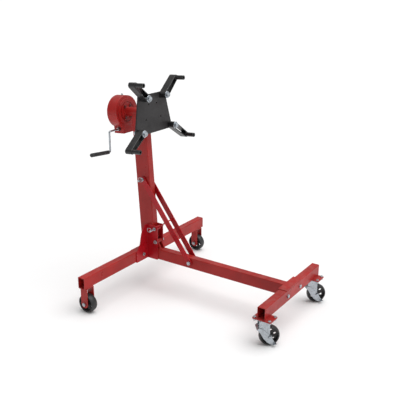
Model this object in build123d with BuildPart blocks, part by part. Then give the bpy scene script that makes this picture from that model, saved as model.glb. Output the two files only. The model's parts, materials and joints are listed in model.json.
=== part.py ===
from build123d import *
import os
from math import atan2, cos, degrees, hypot, pi, radians, sin

os.makedirs("parts", exist_ok=True)

# Engine stand, millimetres.  +X runs forward along the main beam, +Z is up,
# and "left" is +Y.  The origin is on the floor under the middle of the footprint.

# ---- driving dimensions: steel tube and sheet
TUBE_H = 60.0
TUBE_W = 40.0
TUBE_WALL = 2.5
TUBE_CORNER = 4.0
TUBE_TOP = 197.0
TUBE_BOTTOM = TUBE_TOP - TUBE_H
TUBE_MID = TUBE_TOP - TUBE_H / 2
PLATE = 5.0
TOUCH = 0.05          # radial play between pieces that stay together
RUN = 0.06            # radial play of a running fit
HEX_GAP = 0.1         # gap under a bolt head, washer or nut

# ---- driving dimensions: hex bolts, as (radius, across flats, head height, nut height)
FRAME_BOLT = (5.0, 17.0, 6.4, 8.0)
PIVOT_BOLT = (6.0, 19.0, 7.5, 10.0)
REAR_AXLE = (6.0, 18.0, 7.0, 9.0)
CASTER_AXLE = (5.0, 14.0, 5.0, 6.0)
CASTER_BOLT = (4.0, 13.0, 5.3, 6.0)
ARM_BOLT = (6.9, 22.0, 9.0, 12.0)
FRAME_BOLT_R = FRAME_BOLT[0]
REAR_AXLE_R = REAR_AXLE[0]
CASTER_AXLE_R = CASTER_AXLE[0]
CASTER_BOLT_R = CASTER_BOLT[0]
ARM_BOLT_R = ARM_BOLT[0]
BOLT_TIP = 3.0        # of thread past a nut
WASHER_R = 17.5       # broad washers on the arms
WASHER = 3.0

# ---- driving dimensions: plan of the base
BAR_X = -376.08       # centreline of the two rear legs
LEG_REACH = 510.0     # rear leg end, from the middle
LEG_BOLT_Y = 62.0
MAST_WIDTH = 41.0
MAST_DEPTH = 87.0
MAST_WALL = 3.0
MAST_TAIL = 10.0      # of tube below the mast foot, cut level with the leg's underside
WING_FRONT = BAR_X + 92.0
WING_BOTTOM = TUBE_BOTTOM - 2
WING_TOP = TUBE_TOP + 130
WING_CORNER = 8.0
TIE_PLATE_HALF = 112.0
TIE_PLATE_H = TUBE_H - 6
PLATE_CORNER = 6.0

# ---- driving dimensions: folding beam and front crossbar
BEAM_START = BAR_X + 74.0
CROSSBAR_X = BAR_X + 865.0
CROSSBAR_HALF = 280.0
CROSSBAR_BOLT_Y = 62.5
SOCKET_WALL = 3.0
SOCKET_BACK = 6.0
SOCKET_LIP_SETBACK = 12.0  # of the lower flange, from the crossbar's front
SOCKET_HALF = 78.0
BEAM_END = CROSSBAR_X - TUBE_W / 2 - SOCKET_BACK
LUG = 8.0
LUG_INNER = 9.0
HINGE_SLEEVE_R = 11.0
HINGE_SLEEVE_HALF = MAST_WIDTH / 2 - 1

# ---- driving dimensions: wheels
WHEEL_R = 48.0
RIM_R = WHEEL_R - 10
TREAD_EDGE = 4.0      # drop of the crowned tread at its edges
WEB_HALF = 5.0
HUB_WALL = 8.0
WEB_HOLE_R = 7.0
WEB_HOLES = 6
REAR_WHEEL_Y = 472.0
REAR_FORK_GAP = 41.0
REAR_HUB_HALF = 19.0
REAR_WHEEL_W = 35.0
REAR_FIRST_HOLE = {"left": 57.0, "right": 7.0}
CASTER_FIRST_HOLE = {"left": 49.0, "right": 14.0}
CASTER_WHEEL_W = 34.0
CASTER_HUB_HALF = 18.6

# ---- driving dimensions: casters
CASTER_Y = 249.0
CASTER_X = CROSSBAR_X + 2.0
CASTER_TRAIL = 22.4
CASTER_TURN = 40.0    # degrees from +X towards +Y at rest
MOUNT_PLATE = 4.0
MOUNT_X = 96.0
MOUNT_Y = 70.0
MOUNT_CORNER = 8.0
TOP_PLATE = 3.0
TOP_PLATE_INSET = 3.0
CASTER_BOLT_X = 76.0
CASTER_BOLT_Y = 50.0
RACE_R = 24.0
RACE_GAP = 0.4        # between the bearing dome and the fork
CROWN_TOP = TUBE_BOTTOM - 11
CROWN = 4.0
CROWN_BACK = -28.0
CROWN_FRONT = 20.0
KINGPIN_R = 6.0
RIVET_R = 10.0
RIVET = 4.0
CASTER_BOSS_R = 9.0
FORK_INNER = 19.0
FORK_SHEET = 3.0
BRAKE_SHEET = 2.5
BRAKE_GAP = 0.8
BRAKE_INNER = FORK_INNER + FORK_SHEET + BRAKE_GAP
BRAKE_BOSS_R = 8.0
HEEL_BAR = 12.0
FOOT_TAB = 15.0
FOOT_TAB_WIDTH = 13.0

# ---- driving dimensions: mast, folding joints, brace and locking pins
LEAN = 3.5            # degrees that the mast leans back and the spindle rises
MAST_FOOT_X = BAR_X + 29.5
HEAD_UP = 782.0       # spindle above the mast foot, along the mast
HINGE = (BAR_X + 79.0, 236.0)
LOWER_PIN = (BAR_X + 75.0, 309.0)
UPPER_PIN = (BAR_X + 5.0, 572.0)
BRACE_BOLT = (BAR_X + 298.0, 170.0)
PIN_R = 6.0
PIN_PLAY = 0.5        # round a pin in its release slot
BRACE_WIDTH = 30.0
BRACE_GAP = 3.0       # between each brace and the side of the mast
BRACE_INNER = MAST_WIDTH / 2 + BRACE_GAP
BRACE_BOSS_R = 13.0
STRUT_HALF = MAST_WIDTH / 2 - 1
HOOK_WALL = 4.5
UPPER_RELEASE = 236.0  # direction in which the upper pin leaves the brace, degrees
LOWER_RELEASE = 249.0  # direction in which the lower pin leaves the strut, degrees
UPPER_SLOT = 40.0
LOWER_SLOT = 30.0
PIN_COLLAR_R = 9.0
PIN_COLLAR = 4.0
PIN_CLEAR = 0.5       # between a pin's collar and the plate beside it
UPPER_PIN_END = 35.0
LOWER_PIN_END = 46.0
NECK_R = 5.0
NECK_PAST_HOLE = 7.0
RING_HOLE_Y = -57.0
RING_HOLE_R = 3.0
RING_R = 12.0
RING_WIRE_R = 1.3
UPPER_RING_ANGLE = 38.0
LOWER_RING_ANGLE = 175.0

# ---- driving dimensions: head, along the spindle from the mast's centreline
HOUSING_R = 23.0
HOUSING_BORE_R = 18.5
HOUSING_FRONT = 60.0
SPINDLE_R = 15.0
BUSH_LENGTH = 28.0
GEARBOX_BACK = -154.0
GEARBOX_FRONT = -89.5
GEARBOX_R = 83.0
GEARBOX_WALL = 4.0
GEARBOX_BOX_HALF = 39.0
GEARBOX_BOX_DROP = 109.0
NIPPLE_AT = -114.0
NIPPLE_R = 3.0
FLANGE_R = 45.0
FLANGE = 5.0
FLANGE_BOLT_Y = 40.0
FLANGE_BOLT_UP = 58.0
FLANGE_BOLT_R = 4.0
FLANGE_BOLT_HEAD_R = 6.5
FLANGE_BOLT_HEAD = 6.0
HEX_SOCKET_R = 3.0
HEX_SOCKET = 3.0
COVER_RING_R = 68.0
COVER_RING = 3.0
SPINDLE_FLANGE_R = 46.0
SPINDLE_FLANGE = 8.0
PLATE_BACK = 75.0
FACEPLATE = 8.0
PLATE_FACE = PLATE_BACK + FACEPLATE
PLATE_TOP = 98.0
PLATE_BOTTOM = -96.0
PLATE_TOP_HALF = 104.0
PLATE_BOTTOM_HALF = 148.0
PLATE_ROUND = 9.0
SPARE_HOLE_R = 4.5
SPARE_HOLES = ((-32, 47), (32, 47), (-60, -24.5), (60, -24.5))

# ---- driving dimensions: worm gear
WORM_AT = -118.75     # worm and worm wheel, along the spindle
WORM_DROP = 86.0
WHEEL_TEETH = 45
WHEEL_PITCH_R = 70.0
WHEEL_FACE = 11.0
WHEEL_HUB_R = 24.0
WHEEL_HUB_HALF = 14.0
LIGHTENING_RING_R = 45.0
LIGHTENING_R = 9.0
WORM_PITCH_R = WORM_DROP - WHEEL_PITCH_R
TOOTH_PITCH = 2 * pi * WHEEL_PITCH_R / WHEEL_TEETH
TOOTH_HALF = 1.45
TOOTH_SLOPE = 0.7
TOOTH_ADDENDUM = 2.4
TOOTH_ROOT = 2.8
THREAD_ROOT = TOOTH_ROOT + 1.2
WORM_TURNS = 3
WORM_SHOULDER = 3.0
SHAFT_R = 8.0
SHAFT_END = 52.0
WORM_BUSH_R = 12.0
WORM_BUSH = 10.0

# ---- driving dimensions: arms, as (y, up) across the faceplate
ARM_BOLT_AT = {"upper": (73.0, 83.5), "lower": (126.0, -79.5)}
ARM_SLEEVE_AT = {"upper": (160.0, 158.5), "lower": (222.0, -147.0)}
ARM_WIDTH = 34.0
ARM_DEPTH = 38.0
ARM_TAPER = 3.0
ARM_WALL = 4.0
ARM_GAP = 0.2         # between an arm or a nut and the faceplate
ARM_BACK = PLATE_FACE + ARM_GAP
SLEEVE_R = 11.0
SLEEVE_BORE_R = 6.5
SLEEVE_END = 84.0     # from the arm's back

# ---- driving dimensions: crank
CRANK_ROD_R = 5.0
CRANK_REACH = 115.0
CRANK_THROW = 106.0
CRANK_BEND_R = 7.0
ROD_SOCKET = 12.0
GRIP_R = 10.0
GRIP_START = 12.0     # from the crank arm's centreline
GRIP_LENGTH = 131.0
GRIP_CAP = 7.0        # solid end past the bore
GRIP_TILT = 5.0       # degrees that the grip rises towards its free end

SIDES = {"left": 1, "right": -1}
Y_DIR = Vector(0, 1, 0)

# ---- places worked out from the driving dimensions
lean = radians(LEAN)
spindle_axis = Vector(cos(lean), 0, sin(lean))
mast_axis = Vector(-sin(lean), 0, cos(lean))
mast_foot = Vector(MAST_FOOT_X, 0, TUBE_BOTTOM)
head_centre = mast_foot + mast_axis * HEAD_UP
worm_centre = head_centre + spindle_axis * WORM_AT - mast_axis * WORM_DROP
nipple_seat = head_centre + spindle_axis * NIPPLE_AT + mast_axis * GEARBOX_R
grip_axis = Vector(0, -cos(radians(GRIP_TILT)), sin(radians(GRIP_TILT)))
grip_root = worm_centre + Vector(0, -CRANK_REACH, -CRANK_THROW)

turn = radians(CASTER_TURN)
trail_dir = Vector(cos(turn), sin(turn), 0)
axle_dir = Vector(-sin(turn), cos(turn), 0)

brace_run = UPPER_PIN[0] - BRACE_BOLT[0]
brace_rise = UPPER_PIN[1] - BRACE_BOLT[1]
brace_length = hypot(brace_run, brace_rise)
brace_angle = degrees(atan2(brace_rise, brace_run))


def save(piece, name):
    piece.part.label = name
    export_step(piece.part, f"parts/{name}.step")


def across(y):
    """Plane facing -Y at y: sketch X is +X and sketch Y is +Z."""
    return Plane.XZ.offset(-y)


def outward(side, inner, thickness):
    """Plane from which a thickness along -Y fills |y| from inner on one side."""
    return across(inner + thickness) if side > 0 else across(-inner)


def facing(x):
    """Plane facing +X at x: sketch X is +Y and sketch Y is +Z."""
    return Plane.YZ.offset(x)


def head_plane(along):
    """Plane facing along the spindle: sketch X is +Y and sketch Y runs up the mast."""
    return Plane(head_centre + spindle_axis * along, x_dir=(0, 1, 0), z_dir=spindle_axis)


def tube_section(width, height, wall):
    """Hollow section with round corners, drawn in the sketch that is open."""
    RectangleRounded(width, height, TUBE_CORNER)
    inner_corner = max(TUBE_CORNER - wall, 0.8)
    RectangleRounded(width - 2 * wall, height - 2 * wall, inner_corner, mode=Mode.SUBTRACT)


def hex_bolts(planes, size, grip):
    """Hex bolts seated on planes that face out of their heads, with nuts after the grip."""
    radius, flats, head, nut = size
    with BuildPart() as bolts:
        for seat in planes:
            with BuildSketch(seat.offset(HEX_GAP)):
                RegularPolygon(flats / 2, 6, major_radius=False)
            extrude(amount=head)
            with BuildSketch(seat.offset(HEX_GAP)):
                Circle(radius)
            extrude(amount=-(grip + nut + BOLT_TIP + 2 * HEX_GAP))
            with BuildSketch(seat.offset(-grip - HEX_GAP)):
                RegularPolygon(flats / 2, 6, major_radius=False)
                Circle(radius + TOUCH, mode=Mode.SUBTRACT)
            extrude(amount=-nut)
    return bolts


# ======================================================================
# Base: rear legs, mast and brackets
# ======================================================================
def rear_leg(side):
    inner = MAST_WIDTH / 2
    length = LEG_REACH - inner
    with BuildPart() as leg:
        with BuildSketch(outward(side, inner, length)):
            with Locations((BAR_X, TUBE_MID)):
                tube_section(TUBE_W, TUBE_H, TUBE_WALL)
        extrude(amount=length)
        with BuildSketch(Plane((BAR_X - TUBE_W, side * LEG_BOLT_Y, TUBE_MID), z_dir=(1, 0, 0))):
            Circle(FRAME_BOLT_R + TOUCH)
        extrude(amount=2 * TUBE_W, mode=Mode.SUBTRACT)
    return leg


def make_mast():
    foot = Plane(mast_foot - mast_axis * MAST_TAIL, x_dir=spindle_axis, z_dir=mast_axis)
    with BuildPart() as mast:
        with BuildSketch(foot):
            tube_section(MAST_DEPTH, MAST_WIDTH, MAST_WALL)
        extrude(amount=HEAD_UP + MAST_TAIL)
        split(bisect_by=Plane.XY.offset(TUBE_BOTTOM), keep=Keep.TOP)
        with BuildSketch(head_plane(-MAST_DEPTH)):
            Circle(HOUSING_R + TOUCH)
        extrude(amount=2 * MAST_DEPTH, mode=Mode.SUBTRACT)
        with BuildSketch(across(MAST_WIDTH)):
            with Locations(UPPER_PIN):
                Circle(PIN_R + RUN)
        extrude(amount=2 * MAST_WIDTH, mode=Mode.SUBTRACT)
    return mast


def bracket(side):
    """Bent plate: one wing on the leg's front face and one along the mast's side."""
    inner = MAST_WIDTH / 2
    bottom, top = WING_BOTTOM, WING_TOP
    front_wing = [(inner, bottom), (120, bottom), (118, top - 133), (107, top - 126),
                  (87, top - 97), (73, top - 41), (42, top), (inner, top)]
    side_wing = [(BAR_X + TUBE_W / 2, bottom), (WING_FRONT, bottom), (WING_FRONT, top),
                 (BAR_X + TUBE_W / 2, top)]
    with BuildPart() as plate:
        with BuildSketch(facing(BAR_X + TUBE_W / 2)):
            with BuildLine():
                Polyline([(side * y, z) for y, z in front_wing], close=True)
            make_face()
        extrude(amount=PLATE)
        with BuildSketch(outward(side, inner, PLATE)):
            with BuildLine():
                Polyline(side_wing, close=True)
            make_face()
        extrude(amount=PLATE)
        front_corners = plate.edges().filter_by(Axis.Y).group_by(Axis.X)[-1]
        fillet(front_corners, radius=WING_CORNER)
        with BuildSketch(across(MAST_WIDTH)):
            with Locations(HINGE, LOWER_PIN):
                Circle(PIN_R + RUN)
        extrude(amount=2 * MAST_WIDTH, mode=Mode.SUBTRACT)
        with BuildSketch(Plane((BAR_X, side * LEG_BOLT_Y, TUBE_MID), z_dir=(1, 0, 0))):
            Circle(FRAME_BOLT_R + TOUCH)
        extrude(amount=TUBE_W, mode=Mode.SUBTRACT)
    return plate


def make_rear_tie_plate():
    with BuildPart() as plate:
        with BuildSketch(facing(BAR_X - TUBE_W / 2 - PLATE)):
            with Locations((0, TUBE_MID)):
                RectangleRounded(2 * TIE_PLATE_HALF, TIE_PLATE_H, PLATE_CORNER)
            with Locations((-LEG_BOLT_Y, TUBE_MID), (LEG_BOLT_Y, TUBE_MID)):
                Circle(FRAME_BOLT_R + TOUCH, mode=Mode.SUBTRACT)
        extrude(amount=PLATE)
    return plate


def make_leg_bolts():
    seat_x = BAR_X + TUBE_W / 2 + PLATE
    seats = [Plane((seat_x, y, TUBE_MID), z_dir=(1, 0, 0)) for y in (-LEG_BOLT_Y, LEG_BOLT_Y)]
    return hex_bolts(seats, FRAME_BOLT, grip=TUBE_W + 2 * PLATE)


def side_seat(x, z, y):
    """Plane at (x, y, z) facing -Y, for a bolt whose head is on the right-hand side."""
    return Plane((x, y, z), z_dir=(0, -1, 0))


def make_hinge_bolt():
    reach = MAST_WIDTH / 2 + PLATE
    seat = side_seat(*HINGE, -reach)
    return hex_bolts([seat], PIVOT_BOLT, grip=2 * reach)


save(rear_leg(SIDES["left"]), "left_leg")
save(rear_leg(SIDES["right"]), "right_leg")
save(make_mast(), "mast")
save(bracket(SIDES["left"]), "left_bracket")
save(bracket(SIDES["right"]), "right_bracket")
save(make_rear_tie_plate(), "rear_tie_plate")
save(make_leg_bolts(), "leg_bolts")
save(make_hinge_bolt(), "hinge_bolt")


# ======================================================================
# Wheels
# ======================================================================
def rear_fork(side):
    """Strap bent into a U under the leg, round at both lower ends."""
    half_gap = REAR_FORK_GAP / 2
    strap = TUBE_W / 2
    with BuildPart() as fork:
        for offset in (-half_gap - PLATE, half_gap):
            with BuildSketch(across(side * REAR_WHEEL_Y + offset + PLATE)):
                with Locations((BAR_X, (TUBE_BOTTOM + WHEEL_R) / 2)):
                    Rectangle(2 * strap, TUBE_BOTTOM - WHEEL_R)
                with Locations((BAR_X, WHEEL_R)):
                    Circle(strap)
                    Circle(REAR_AXLE_R + TOUCH, mode=Mode.SUBTRACT)
            extrude(amount=PLATE)
        with BuildSketch(Plane((BAR_X, side * REAR_WHEEL_Y, TUBE_BOTTOM - PLATE))):
            Rectangle(2 * strap, REAR_FORK_GAP + 2 * PLATE)
        extrude(amount=PLATE)
        bends = fork.edges().filter_by(Axis.X).group_by(Axis.Z)[-1]
        fillet(bends, radius=PLATE)
    return fork


def wheel(centre, axle_dir, axle_r, width, hub_half, first_hole):
    """Moulded wheel: crowned tread, dished web with round holes, and a plain bored hub."""
    spin = Plane(centre, x_dir=(0, 0, 1), z_dir=axle_dir)
    profile_plane = Plane(centre, x_dir=axle_dir, z_dir=spin.x_dir.cross(spin.z_dir))
    half = width / 2
    hub_r = axle_r + HUB_WALL
    outline = [(hub_half, axle_r + RUN), (hub_half, hub_r - 1), (half - 2, hub_r),
               (WEB_HALF, hub_r + 2), (WEB_HALF, RIM_R - 1), (half - 1, RIM_R), (half, RIM_R + 2),
               (half, WHEEL_R - TREAD_EDGE)]
    mirrored = [(-x, r) for x, r in reversed(outline)]
    with BuildPart() as body:
        with BuildSketch(profile_plane):
            with BuildLine():
                Polyline(outline)
                ThreePointArc(outline[-1], (0, WHEEL_R), mirrored[0])
                Polyline(mirrored + [outline[0]])
            make_face()
        revolve(axis=Axis(centre, axle_dir))
        with BuildSketch(spin.offset(-half)):
            with PolarLocations((hub_r + RIM_R + 1) / 2, WEB_HOLES, start_angle=first_hole):
                Circle(WEB_HOLE_R)
        extrude(amount=width, mode=Mode.SUBTRACT)
    return body


def make_rear_axle_bolts():
    reach = REAR_FORK_GAP / 2 + PLATE
    seats = []
    for side in SIDES.values():
        seats.append(Plane((BAR_X, side * (REAR_WHEEL_Y + reach), WHEEL_R), z_dir=(0, side, 0)))
    return hex_bolts(seats, REAR_AXLE, grip=2 * reach)


for side_name, side in SIDES.items():
    rear_centre = Vector(BAR_X, side * REAR_WHEEL_Y, WHEEL_R)
    save(rear_fork(side), f"{side_name}_rear_fork")
    save(wheel(rear_centre, Vector(0, 1, 0), REAR_AXLE_R, REAR_WHEEL_W, REAR_HUB_HALF,
               REAR_FIRST_HOLE[side_name]), f"{side_name}_rear_wheel")
save(make_rear_axle_bolts(), "rear_axle_bolts")



# ======================================================================
# Casters
# ======================================================================
def caster_side(side, across_by):
    """Plane beside a caster: sketch X runs along its trail, sketch Y is +Z."""
    origin = Vector(CASTER_X, side * CASTER_Y, 0) + axle_dir * across_by
    return Plane(origin, x_dir=trail_dir, z_dir=-axle_dir)


def caster_plan(side, height):
    """Level plane centred on a caster's swivel: sketch X runs along its trail."""
    return Plane((CASTER_X, side * CASTER_Y, height), x_dir=trail_dir, z_dir=(0, 0, 1))


def caster_bolt_places():
    return GridLocations(CASTER_BOLT_X, CASTER_BOLT_Y, 2, 2)


def make_mounting_plates():
    """Red plates welded under the ends of the front crossbar."""
    with BuildPart() as plates:
        for side in SIDES.values():
            with BuildSketch(Plane((CASTER_X, side * CASTER_Y, TUBE_BOTTOM - MOUNT_PLATE))):
                RectangleRounded(MOUNT_X, MOUNT_Y, MOUNT_CORNER)
                with caster_bolt_places():
                    Circle(CASTER_BOLT_R + TOUCH, mode=Mode.SUBTRACT)
            extrude(amount=MOUNT_PLATE)
    return plates


def make_caster_top_plates():
    """Zinc plates with a pressed bearing dome and a riveted kingpin."""
    plate_top = TUBE_BOTTOM - MOUNT_PLATE
    dome_bottom = CROWN_TOP + RACE_GAP
    with BuildPart() as plates:
        for side in SIDES.values():
            with BuildSketch(Plane((CASTER_X, side * CASTER_Y, plate_top - TOP_PLATE))):
                RectangleRounded(MOUNT_X - TOP_PLATE_INSET, MOUNT_Y - TOP_PLATE_INSET,
                                 MOUNT_CORNER)
                with caster_bolt_places():
                    Circle(CASTER_BOLT_R + TOUCH, mode=Mode.SUBTRACT)
            extrude(amount=TOP_PLATE)
            with BuildSketch(Plane((CASTER_X, side * CASTER_Y, dome_bottom))):
                Circle(RACE_R)
            extrude(amount=plate_top - TOP_PLATE - dome_bottom)
            with BuildSketch(Plane((CASTER_X, side * CASTER_Y, dome_bottom))):
                Circle(KINGPIN_R)
            extrude(amount=-(CROWN + 2 * RACE_GAP))
            with BuildSketch(Plane((CASTER_X, side * CASTER_Y, CROWN_TOP - CROWN - RACE_GAP))):
                Circle(RIVET_R)
            extrude(amount=-RIVET)
    return plates


def make_caster_bolts():
    seats = []
    for side in SIDES.values():
        for x in (-CASTER_BOLT_X / 2, CASTER_BOLT_X / 2):
            for y in (-CASTER_BOLT_Y / 2, CASTER_BOLT_Y / 2):
                seats.append(Plane((CASTER_X + x, side * CASTER_Y + y, TUBE_BOTTOM)))
    return hex_bolts(seats, CASTER_BOLT, grip=MOUNT_PLATE + TOP_PLATE)


def caster_fork(side):
    """Pressed fork: round-cornered crown and two cheeks that narrow to the axle."""
    with BuildPart() as fork:
        for across_by in (FORK_INNER + FORK_SHEET, -FORK_INNER):
            with BuildSketch(caster_side(side, across_by)):
                with BuildLine():
                    Polyline([(CROWN_BACK, CROWN_TOP), (CROWN_FRONT, CROWN_TOP),
                              (CROWN_FRONT + 2, WHEEL_R + 12), (CASTER_TRAIL, WHEEL_R),
                              (CASTER_TRAIL - 10, WHEEL_R), (CROWN_BACK, WHEEL_R + 46)],
                             close=True)
                make_face()
                with Locations((CASTER_TRAIL, WHEEL_R)):
                    Circle(CASTER_BOSS_R)
                    Circle(CASTER_AXLE_R + TOUCH, mode=Mode.SUBTRACT)
            extrude(amount=FORK_SHEET)
        with BuildSketch(caster_plan(side, CROWN_TOP - CROWN)):
            with Locations(((CROWN_BACK + CROWN_FRONT) / 2, 0)):
                Rectangle(CROWN_FRONT - CROWN_BACK, 2 * (FORK_INNER + FORK_SHEET))
            Circle(RACE_R)
        extrude(amount=CROWN)
        with BuildSketch(caster_plan(side, CROWN_TOP - CROWN)):
            Circle(KINGPIN_R + RUN)
        extrude(amount=CROWN, mode=Mode.SUBTRACT)
    return fork


def caster_axle(side):
    reach = BRAKE_INNER + BRAKE_SHEET + 1.2
    middle = Vector(CASTER_X, side * CASTER_Y, WHEEL_R) + trail_dir * CASTER_TRAIL
    seat = Plane(middle - axle_dir * reach, z_dir=-axle_dir)
    return hex_bolts([seat], CASTER_AXLE, grip=2 * reach)


def brake_lever(side):
    """Rocker that straddles the fork: two cheeks, a heel bar over the tyre and a foot tab."""
    heel = (CASTER_TRAIL - 56, WHEEL_R + 42)
    toe = (CASTER_TRAIL + 21, WHEEL_R - 33)
    pivot = (CASTER_TRAIL, WHEEL_R)
    slope = degrees(atan2(toe[1] - heel[1], toe[0] - heel[0]))
    cheek = [(-60, 38), (-52, 48), (-36, 43), (-4, 12), (6, -1), (23, -28), (21, -38), (4, -37),
             (-14, -25), (-31, -4), (-46, 24)]
    with BuildPart() as lever:
        for across_by in (BRAKE_INNER + BRAKE_SHEET, -BRAKE_INNER):
            with BuildSketch(caster_side(side, across_by)):
                with BuildLine():
                    Polyline([(pivot[0] + run, pivot[1] + rise) for run, rise in cheek], close=True)
                make_face()
                fillet(vertices(), radius=4)
                with Locations(pivot):
                    Circle(BRAKE_BOSS_R)
                    Circle(CASTER_AXLE_R + RUN, mode=Mode.SUBTRACT)
            extrude(amount=BRAKE_SHEET)
        with BuildSketch(caster_side(side, BRAKE_INNER + BRAKE_SHEET)):
            with Locations(heel):
                Rectangle(HEEL_BAR, BRAKE_SHEET, rotation=slope + 90)
        extrude(amount=2 * (BRAKE_INNER + BRAKE_SHEET))
        with BuildSketch(caster_side(side, -BRAKE_INNER)):
            with Locations(toe):
                Rectangle(FOOT_TAB, BRAKE_SHEET, rotation=slope + 60)
        extrude(amount=FOOT_TAB_WIDTH)
    return lever


save(make_mounting_plates(), "caster_mounting_plates")
save(make_caster_top_plates(), "caster_top_plates")
save(make_caster_bolts(), "caster_bolts")
for side_name, side in SIDES.items():
    caster_centre = Vector(CASTER_X, side * CASTER_Y, WHEEL_R) + trail_dir * CASTER_TRAIL
    save(caster_fork(side), f"{side_name}_caster_fork")
    save(caster_axle(side), f"{side_name}_caster_axle")
    save(brake_lever(side), f"{side_name}_brake_lever")
    save(wheel(caster_centre, axle_dir, CASTER_AXLE_R, CASTER_WHEEL_W, CASTER_HUB_HALF,
               CASTER_FIRST_HOLE[side_name]), f"{side_name}_caster_wheel")


# ======================================================================
# Gearbox and spindle housing
# ======================================================================
def gearbox_section(inset):
    """Drum with the worm box below it, drawn in the sketch that is open."""
    Circle(GEARBOX_R - inset)
    with Locations((0, -(GEARBOX_BOX_DROP - inset) / 2)):
        Rectangle(2 * (GEARBOX_BOX_HALF - inset), GEARBOX_BOX_DROP - inset)


def make_gearbox_housing():
    depth = GEARBOX_FRONT - GEARBOX_BACK - GEARBOX_WALL
    with BuildPart() as housing:
        with BuildSketch(head_plane(GEARBOX_BACK)):
            gearbox_section(0)
        extrude(amount=depth)
        with BuildSketch(head_plane(GEARBOX_BACK + GEARBOX_WALL)):
            gearbox_section(GEARBOX_WALL)
        extrude(amount=depth, mode=Mode.SUBTRACT)
        back_face = housing.faces().sort_by(Axis(head_centre, spindle_axis))[0]
        chamfer(back_face.outer_wire().edges(), length=2)
        with BuildSketch(Plane(worm_centre - Y_DIR * 1.5 * GEARBOX_BOX_HALF, z_dir=Y_DIR)):
            Circle(WORM_BUSH_R + TOUCH)
        extrude(amount=3 * GEARBOX_BOX_HALF, mode=Mode.SUBTRACT)
        with BuildSketch(Plane(nipple_seat, z_dir=mast_axis)):
            Circle(NIPPLE_R + TOUCH)
        extrude(amount=-2 * GEARBOX_WALL, mode=Mode.SUBTRACT)
    return housing


def make_grease_nipple():
    profile = [(0, -GEARBOX_WALL), (NIPPLE_R, -GEARBOX_WALL), (NIPPLE_R, HEX_GAP), (5, HEX_GAP),
               (5, 4), (2.2, 5), (2.2, 7), (3.2, 8.5), (2.4, 10.5), (0, 11)]
    plane = Plane(nipple_seat, x_dir=spindle_axis, z_dir=(0, -1, 0))
    with BuildPart() as nipple:
        with BuildSketch(plane):
            with BuildLine():
                Polyline(profile, close=True)
            make_face()
        revolve(axis=Axis(nipple_seat, mast_axis))
    return nipple


def flange_bolt_places():
    return GridLocations(FLANGE_BOLT_Y, FLANGE_BOLT_UP, 2, 2)


def make_gearbox_cover():
    """Flat cover with a raised ring between its rim and the flange."""
    with BuildPart() as cover:
        with BuildSketch(head_plane(GEARBOX_FRONT - GEARBOX_WALL)):
            gearbox_section(0)
            Circle(HOUSING_R + TOUCH, mode=Mode.SUBTRACT)
            with flange_bolt_places():
                Circle(FLANGE_BOLT_R + TOUCH, mode=Mode.SUBTRACT)
        extrude(amount=GEARBOX_WALL)
        with BuildSketch(head_plane(GEARBOX_FRONT)):
            Circle(COVER_RING_R)
            Circle(FLANGE_R + 2 * COVER_RING, mode=Mode.SUBTRACT)
        extrude(amount=COVER_RING)
        raised = cover.edges().filter_by(GeomType.CIRCLE).sort_by(Axis(head_centre, spindle_axis))
        fillet(raised[-2:], radius=COVER_RING / 2)
    return cover


def make_spindle_housing():
    """Fixed tube on the mast's top, with a flange that carries the gearbox."""
    rear = GEARBOX_FRONT - GEARBOX_WALL
    with BuildPart() as housing:
        with BuildSketch(head_plane(rear)):
            Circle(HOUSING_R)
        extrude(amount=HOUSING_FRONT - rear)
        with BuildSketch(head_plane(GEARBOX_FRONT)):
            Circle(FLANGE_R)
            with flange_bolt_places():
                Circle(FLANGE_BOLT_R + TOUCH, mode=Mode.SUBTRACT)
        extrude(amount=FLANGE)
        with BuildSketch(head_plane(rear)):
            Circle(HOUSING_BORE_R)
        extrude(amount=HOUSING_FRONT - rear, mode=Mode.SUBTRACT)
    return housing


def make_gearbox_bolts():
    with BuildPart() as bolts:
        with BuildSketch(head_plane(GEARBOX_FRONT + FLANGE + HEX_GAP)):
            with flange_bolt_places():
                Circle(FLANGE_BOLT_HEAD_R)
        extrude(amount=FLANGE_BOLT_HEAD)
        with BuildSketch(head_plane(GEARBOX_FRONT + FLANGE + HEX_GAP)):
            with flange_bolt_places():
                Circle(FLANGE_BOLT_R)
        extrude(amount=-(FLANGE + GEARBOX_WALL + 2))
        with BuildSketch(head_plane(GEARBOX_FRONT + FLANGE + FLANGE_BOLT_HEAD - HEX_SOCKET)):
            with flange_bolt_places():
                RegularPolygon(HEX_SOCKET_R, 6)
        extrude(amount=2 * HEX_SOCKET, mode=Mode.SUBTRACT)
    return bolts


def make_spindle_bushes():
    with BuildPart() as bushes:
        for start in (GEARBOX_FRONT, HOUSING_FRONT - BUSH_LENGTH):
            with BuildSketch(head_plane(start)):
                Circle(HOUSING_BORE_R - TOUCH)
                Circle(SPINDLE_R + RUN, mode=Mode.SUBTRACT)
            extrude(amount=BUSH_LENGTH)
    return bushes


def make_worm_bushes():
    with BuildPart() as bushes:
        for start in (-GEARBOX_BOX_HALF, GEARBOX_BOX_HALF - WORM_BUSH):
            with BuildSketch(Plane(worm_centre + Y_DIR * start, z_dir=Y_DIR)):
                Circle(WORM_BUSH_R)
                Circle(SHAFT_R + RUN, mode=Mode.SUBTRACT)
            extrude(amount=WORM_BUSH)
    return bushes


save(make_gearbox_housing(), "gearbox_housing")
save(make_gearbox_cover(), "gearbox_cover")
save(make_gearbox_bolts(), "gearbox_bolts")
save(make_grease_nipple(), "grease_nipple")
save(make_spindle_housing(), "spindle_housing")
save(make_spindle_bushes(), "spindle_bushes")
save(make_worm_bushes(), "worm_bushes")


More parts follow.
